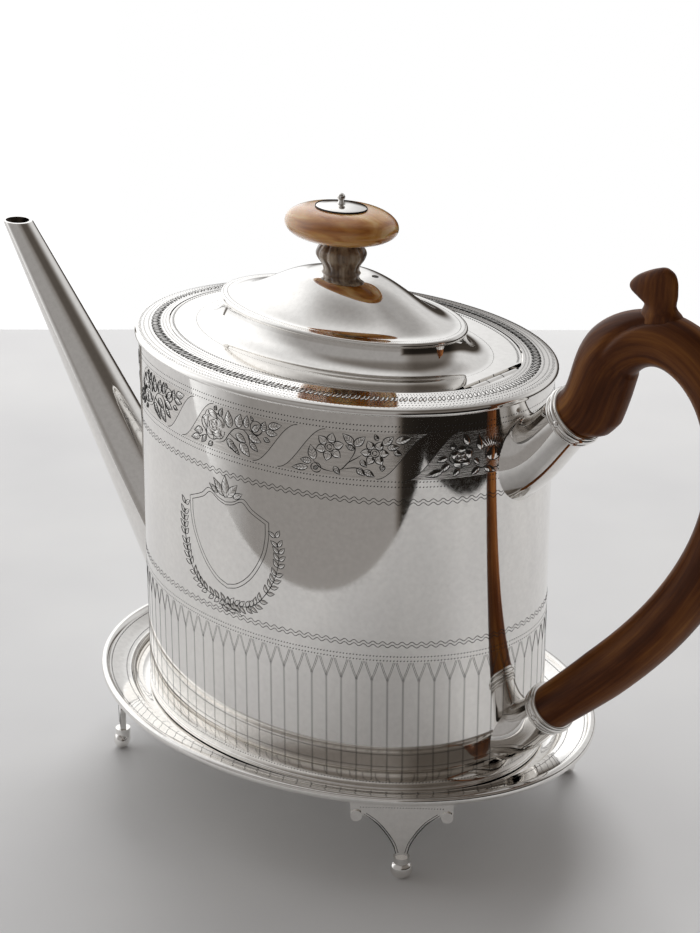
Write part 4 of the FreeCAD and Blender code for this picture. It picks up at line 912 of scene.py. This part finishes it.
def shield(inset):
    """Shield outline: hollow top with two cusps, straight sides that curve in to a point."""
    side = curve([(15.4, 100.1), (15.2, 95), (13.6, 89), (9.4, 82), (4.4, 77.6), (0, 76.0)], 33)
    top = curve([(0, 102.6), (3.0, 103.4), (6.65, 105.1), (10.0, 102.6), (15.4, 100.1)], 33)
    lines = np.stack([side, top])
    middle = np.array([0, 91.5])
    lines = middle + (lines - middle) * (1 - inset / 14.0)
    return np.concatenate([lines, lines * [-1, 1]])


LEFT_BRANCH = [(5.4, 68.9), (-0.7, 71.4), (-7.0, 72.2), (-12.3, 74.6),
               (-16.2, 79.5), (-17.9, 85), (-18.6, 91), (-17.8, 97.3)]
RIGHT_BRANCH = [(-4.1, 68.7), (0.6, 71.2), (5.6, 71.8), (10.2, 73.6),
                (15.0, 79.4), (17.6, 85), (18.6, 91), (17.4, 96.7)]
branches = [sprig(points, 18, 2.9, 0.62) for points in (LEFT_BRANCH, RIGHT_BRANCH)]
wreath, wreath_rows = (np.concatenate(part) for part in zip(*branches))
crest = np.array([(0, 103.8, 0, 110.6, 1.5), (-0.6, 104.2, -4.6, 108.8, 1.2), (0.6, 104.2, 4.6, 108.8, 1.2),
                  (-3.0, 104.6, -6.4, 106.6, 0.8), (3.0, 104.6, 6.4, 106.6, 0.8)])
engraved("shield_and_wreath", "pot", [
    strokes(np.concatenate([shield(0), shield(1.1)]), 0.34, on_drum, tapered=False),
    strokes(np.concatenate([wreath, leaves(crest, 3, 0.06)]), 0.34, on_drum, 0.12)])
engraved("wreath_relief", "pot", [relief(np.concatenate([wreath_rows, crest]), on_drum, 0.12)], SILVER)

# Borders on the shoulder, the lid and the stand
shoulder_top = on_top([(-0.6, 137.9), (0.1, 138.2), (1.2, 138.36), (MOUTH_INSET, LID_LEVEL)])
PAIRS = 130
pair_at = np.arange(PAIRS)[:, None] * GIRTH / PAIRS
flat = 0 * pair_at
pair_rows = np.concatenate([np.concatenate(
    [pair_at + shift, flat + 4.0, pair_at + shift + 1.4, flat + 6.8, flat + 0.5], 1) for shift in (0, 1.25)])


def zigzag(level, swing, turns=300):
    """Line round the girth that goes to and fro across a level."""
    across = np.linspace(0, GIRTH, 2 * turns + 1)
    return np.stack([across, level + swing * np.where(np.arange(len(across)) % 2, 1, -1)], -1)


rope = zigzag(0.55, 0.4)[None]
ring_dots = np.concatenate([dot_row(inset) for inset in (1.75, 3.2, 7.5, 8.4)])
engraved("shoulder_borders", "pot", [
    strokes(leaves(pair_rows, 0), 0.26, shoulder_top, 0.1),
    strokes(rope, 0.3, shoulder_top, tapered=False),
    dots(ring_dots, 0.56, shoulder_top)])
engraved("shoulder_relief", "pot", [relief(pair_rows, shoulder_top, 0.12)], SILVER)

lid_top = on_top([(brim, LID_LEVEL), (COVE_INSET, LID_LEVEL)])
ledge_top = on_top([(25.2, 147.55), (25.6, 147.88), (30, 147.95)])
chevron = zigzag(10.6, 0.35)


def before_cut(places):
    """Those places on the lid that lie clear of its straight edge."""
    turn = turn_at(places)
    return (DRUM[0] - places[..., 1]) * np.cos(turn) < LID_CUT - 0.5


short = np.stack([chevron[:-1], chevron[1:]], 1)
short = short[before_cut(short).all(1)]
flange_dots = dot_row(17.6)
ledge_dots = np.concatenate([dot_row(25.95, 1.1), dot_row(27.2, 1.1)])
engraved("lid_borders", "lid", [
    strokes(short, 0.28, lid_top, tapered=False),
    dots(flange_dots[before_cut(flange_dots)], 0.42, lid_top),
    dots(ledge_dots, 0.4, ledge_top)])


def on_stand(flat, proud):
    """Drawing of (girth, way in from the stand's edge to its floor) laid on the border."""
    turn = turn_at(flat)
    way = flat[..., 1]
    x = AXIS_X + (STAND[0] + (FLOOR[0] - STAND[0]) * way) * np.cos(turn)
    y = (STAND[1] + (FLOOR[1] - STAND[1]) * way) * np.sin(turn)
    return np.stack([x, y, np.interp(way, *np.transpose(BORDER)) + proud], -1)


engraved("stand_border_lines", "stand", [
    strokes(wave_row(way, 0.008, 1.1, 4), 0.02, on_stand, tapered=False) for way in (0.23, 0.56)])

# Lines on the outer faces of the bracket feet
FOOT_TURN = math.radians(43)
FOOT_HALF = (STAND[0] - 6.6, STAND[1] - 6.6)
FOOT_FACE = 1.8


def on_foot(side_x, side_y):
    """Way of laying a drawing of (along, height) on the outer face of one bracket."""
    x, y = side_x * math.cos(FOOT_TURN), side_y * math.sin(FOOT_TURN)
    spot = np.array([AXIS_X + x * FOOT_HALF[0], y * FOOT_HALF[1], 0])
    out = np.array([x / FOOT_HALF[0], y / FOOT_HALF[1], 0])
    out /= np.linalg.norm(out)
    along = np.cross([0, 0, 1], out)

    def lay(flat, proud):
        lift = np.asarray(FOOT_FACE + proud)
        return spot + flat[..., :1] * along + flat[..., 1:] * np.array([0, 0, 1]) + lift[..., None] * out
    return lay


bracket = curve([(2.3, 7.4), (3.2, 10.4), (5.4, 14.2), (8.2, 17.6), (11.4, 20.1)], STEPS)
edge_lines = np.stack([bracket + [-0.75, 0.35], bracket + [-1.35, 0.65]])
edge_lines = np.concatenate([edge_lines, edge_lines * [-1, 1]])
row = np.linspace(-11.6, 11.6, 30)
foot_dots = np.stack([row, 0 * row + 22.6], -1)
foot_grids = []
for side_x, side_y in ((1, -1), (1, 1), (-1, -1), (-1, 1)):
    lay = on_foot(side_x, side_y)
    foot_grids += [strokes(edge_lines, 0.3, lay, tapered=False), dots(foot_dots, 0.45, lay)]
engraved("feet_lines", "stand", foot_grids)

# Finishes of the CAD's own pieces
FINISH = {"handle": WOOD, "finial_knob": HORN, "finial_stem": STEM_HORN}
for name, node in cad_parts.items():
    node.data.materials.clear()
    node.data.materials.append(FINISH.get(name, SILVER))


def towards(made, spot):
    """Turn a lamp or camera to look at a spot and link it to the scene."""
    made.rotation_euler = (Vector(spot) - made.location).to_track_quat("-Z", "Y").to_euler()
    scene.collection.objects.link(made)


def studio():
    """Pale table with a straight edge in front, which the silver mirrors, a floor that it doesn't, a bright
    window behind and to the left and a dim room in front. Lengths are metres."""
    cloth, tree, shader = finish("table_cloth_pale")
    place = add(tree, "ShaderNodeTexCoord", {}, out="Object")
    cloud = add(tree, "ShaderNodeTexNoise", {"Vector": place, "Scale": every(111), "Detail": 3.0})
    tint = add(tree, "ShaderNodeValToRGB", {"Fac": cloud}, [(0.3, "#dededf"), (0.7, "#e8e8e8")])
    add(tree, shader, {"Base Color": tint, "Roughness": 0.9})
    table = [(-0.63, -0.22, 0), (0.3, -0.22, 0), (0.36, 0.1, 0), (0.36, 0.5, 0), (0.235, 0.76, 0),
             (-0.63, 0.01, 0)]
    arc = np.radians(np.linspace(205.8, 416.2, 97))
    floor = np.stack([1.6 * np.cos(arc), 1.6 * np.sin(arc), 0 * arc - 0.3 * MM], -1).tolist()
    for name, corners in (("table", table), ("floor", floor)):
        mesh = bpy.data.meshes.new(name)
        mesh.from_pydata(corners, [], [list(range(len(corners)))])
        mesh.materials.append(cloth)
        made = bpy.data.objects.new(name, mesh)
        made.visible_glossy = name == "table"
        scene.collection.objects.link(made)

    scene.world = bpy.data.worlds.new("room")
    scene.world.use_nodes = True
    tree = scene.world.node_tree
    way = add(tree, "ShaderNodeTexCoord", {}, out="Generated")

    def fade(direction, start, end, low, high):
        """Brightness that goes smoothly from low to high along a direction."""
        along = add(tree, "ShaderNodeVectorMath", {0: way, 1: direction}, out="Value",
                    operation="DOT_PRODUCT")
        span = {"From Min": start, "From Max": end, "To Min": low, "To Max": high}
        return add(tree, "ShaderNodeMapRange", {"Value": along, **span}, interpolation_type="SMOOTHSTEP")

    up, window, left = (0, 0, 1), (-0.66, 0.75, 0), (-0.75, -0.66, 0)
    sides = {0: fade(up, 0.0, 0.3, 0.0, 1.0), 1: fade(left, 0.02, 0.12, 0.1, 1.0)}
    level = add(tree, "ShaderNodeMath", sides, operation="MAXIMUM")
    for part in (fade(window, -0.3, 0.35, 0.38, 1.3), fade(left, -0.16, 0.1, 0.55, 1.0),
                 fade(up, 0.5, 0.85, 1.0, 0.58), fade(up, -0.12, 0.0, 0.85, 1.0)):
        level = add(tree, "ShaderNodeMath", {0: level, 1: part}, operation="MULTIPLY")
    seen = add(tree, "ShaderNodeLightPath", {}, out="Is Camera Ray")
    level = add(tree, "ShaderNodeMath", {0: level, 1: seen}, operation="MAXIMUM")
    tint = add(tree, "ShaderNodeValToRGB", {"Fac": level},
               [(0.04, "#d6c4b2"), (0.4, "#f4f1ef"), (0.8, "#ffffff")])
    add(tree, tree.nodes["Background"], {"Strength": level, "Color": tint})

    lamp = bpy.data.objects.new("window", bpy.data.lights.new("window", "AREA"))
    lamp.data.energy = 20
    lamp.data.size = 1.0
    lamp.location = (-0.9, 1.1, 1.0)
    lamp.visible_glossy = False
    towards(lamp, (0, 0, 0.06))

    camera = bpy.data.objects.new("camera", bpy.data.cameras.new("camera"))
    camera.data.lens = 85.1
    camera.data.clip_start = 0.01
    camera.location = (0.4035, -0.4544, 0.3429)
    towards(camera, (0.0051, 0.00165, 0.0983))
    scene.camera = camera


studio()
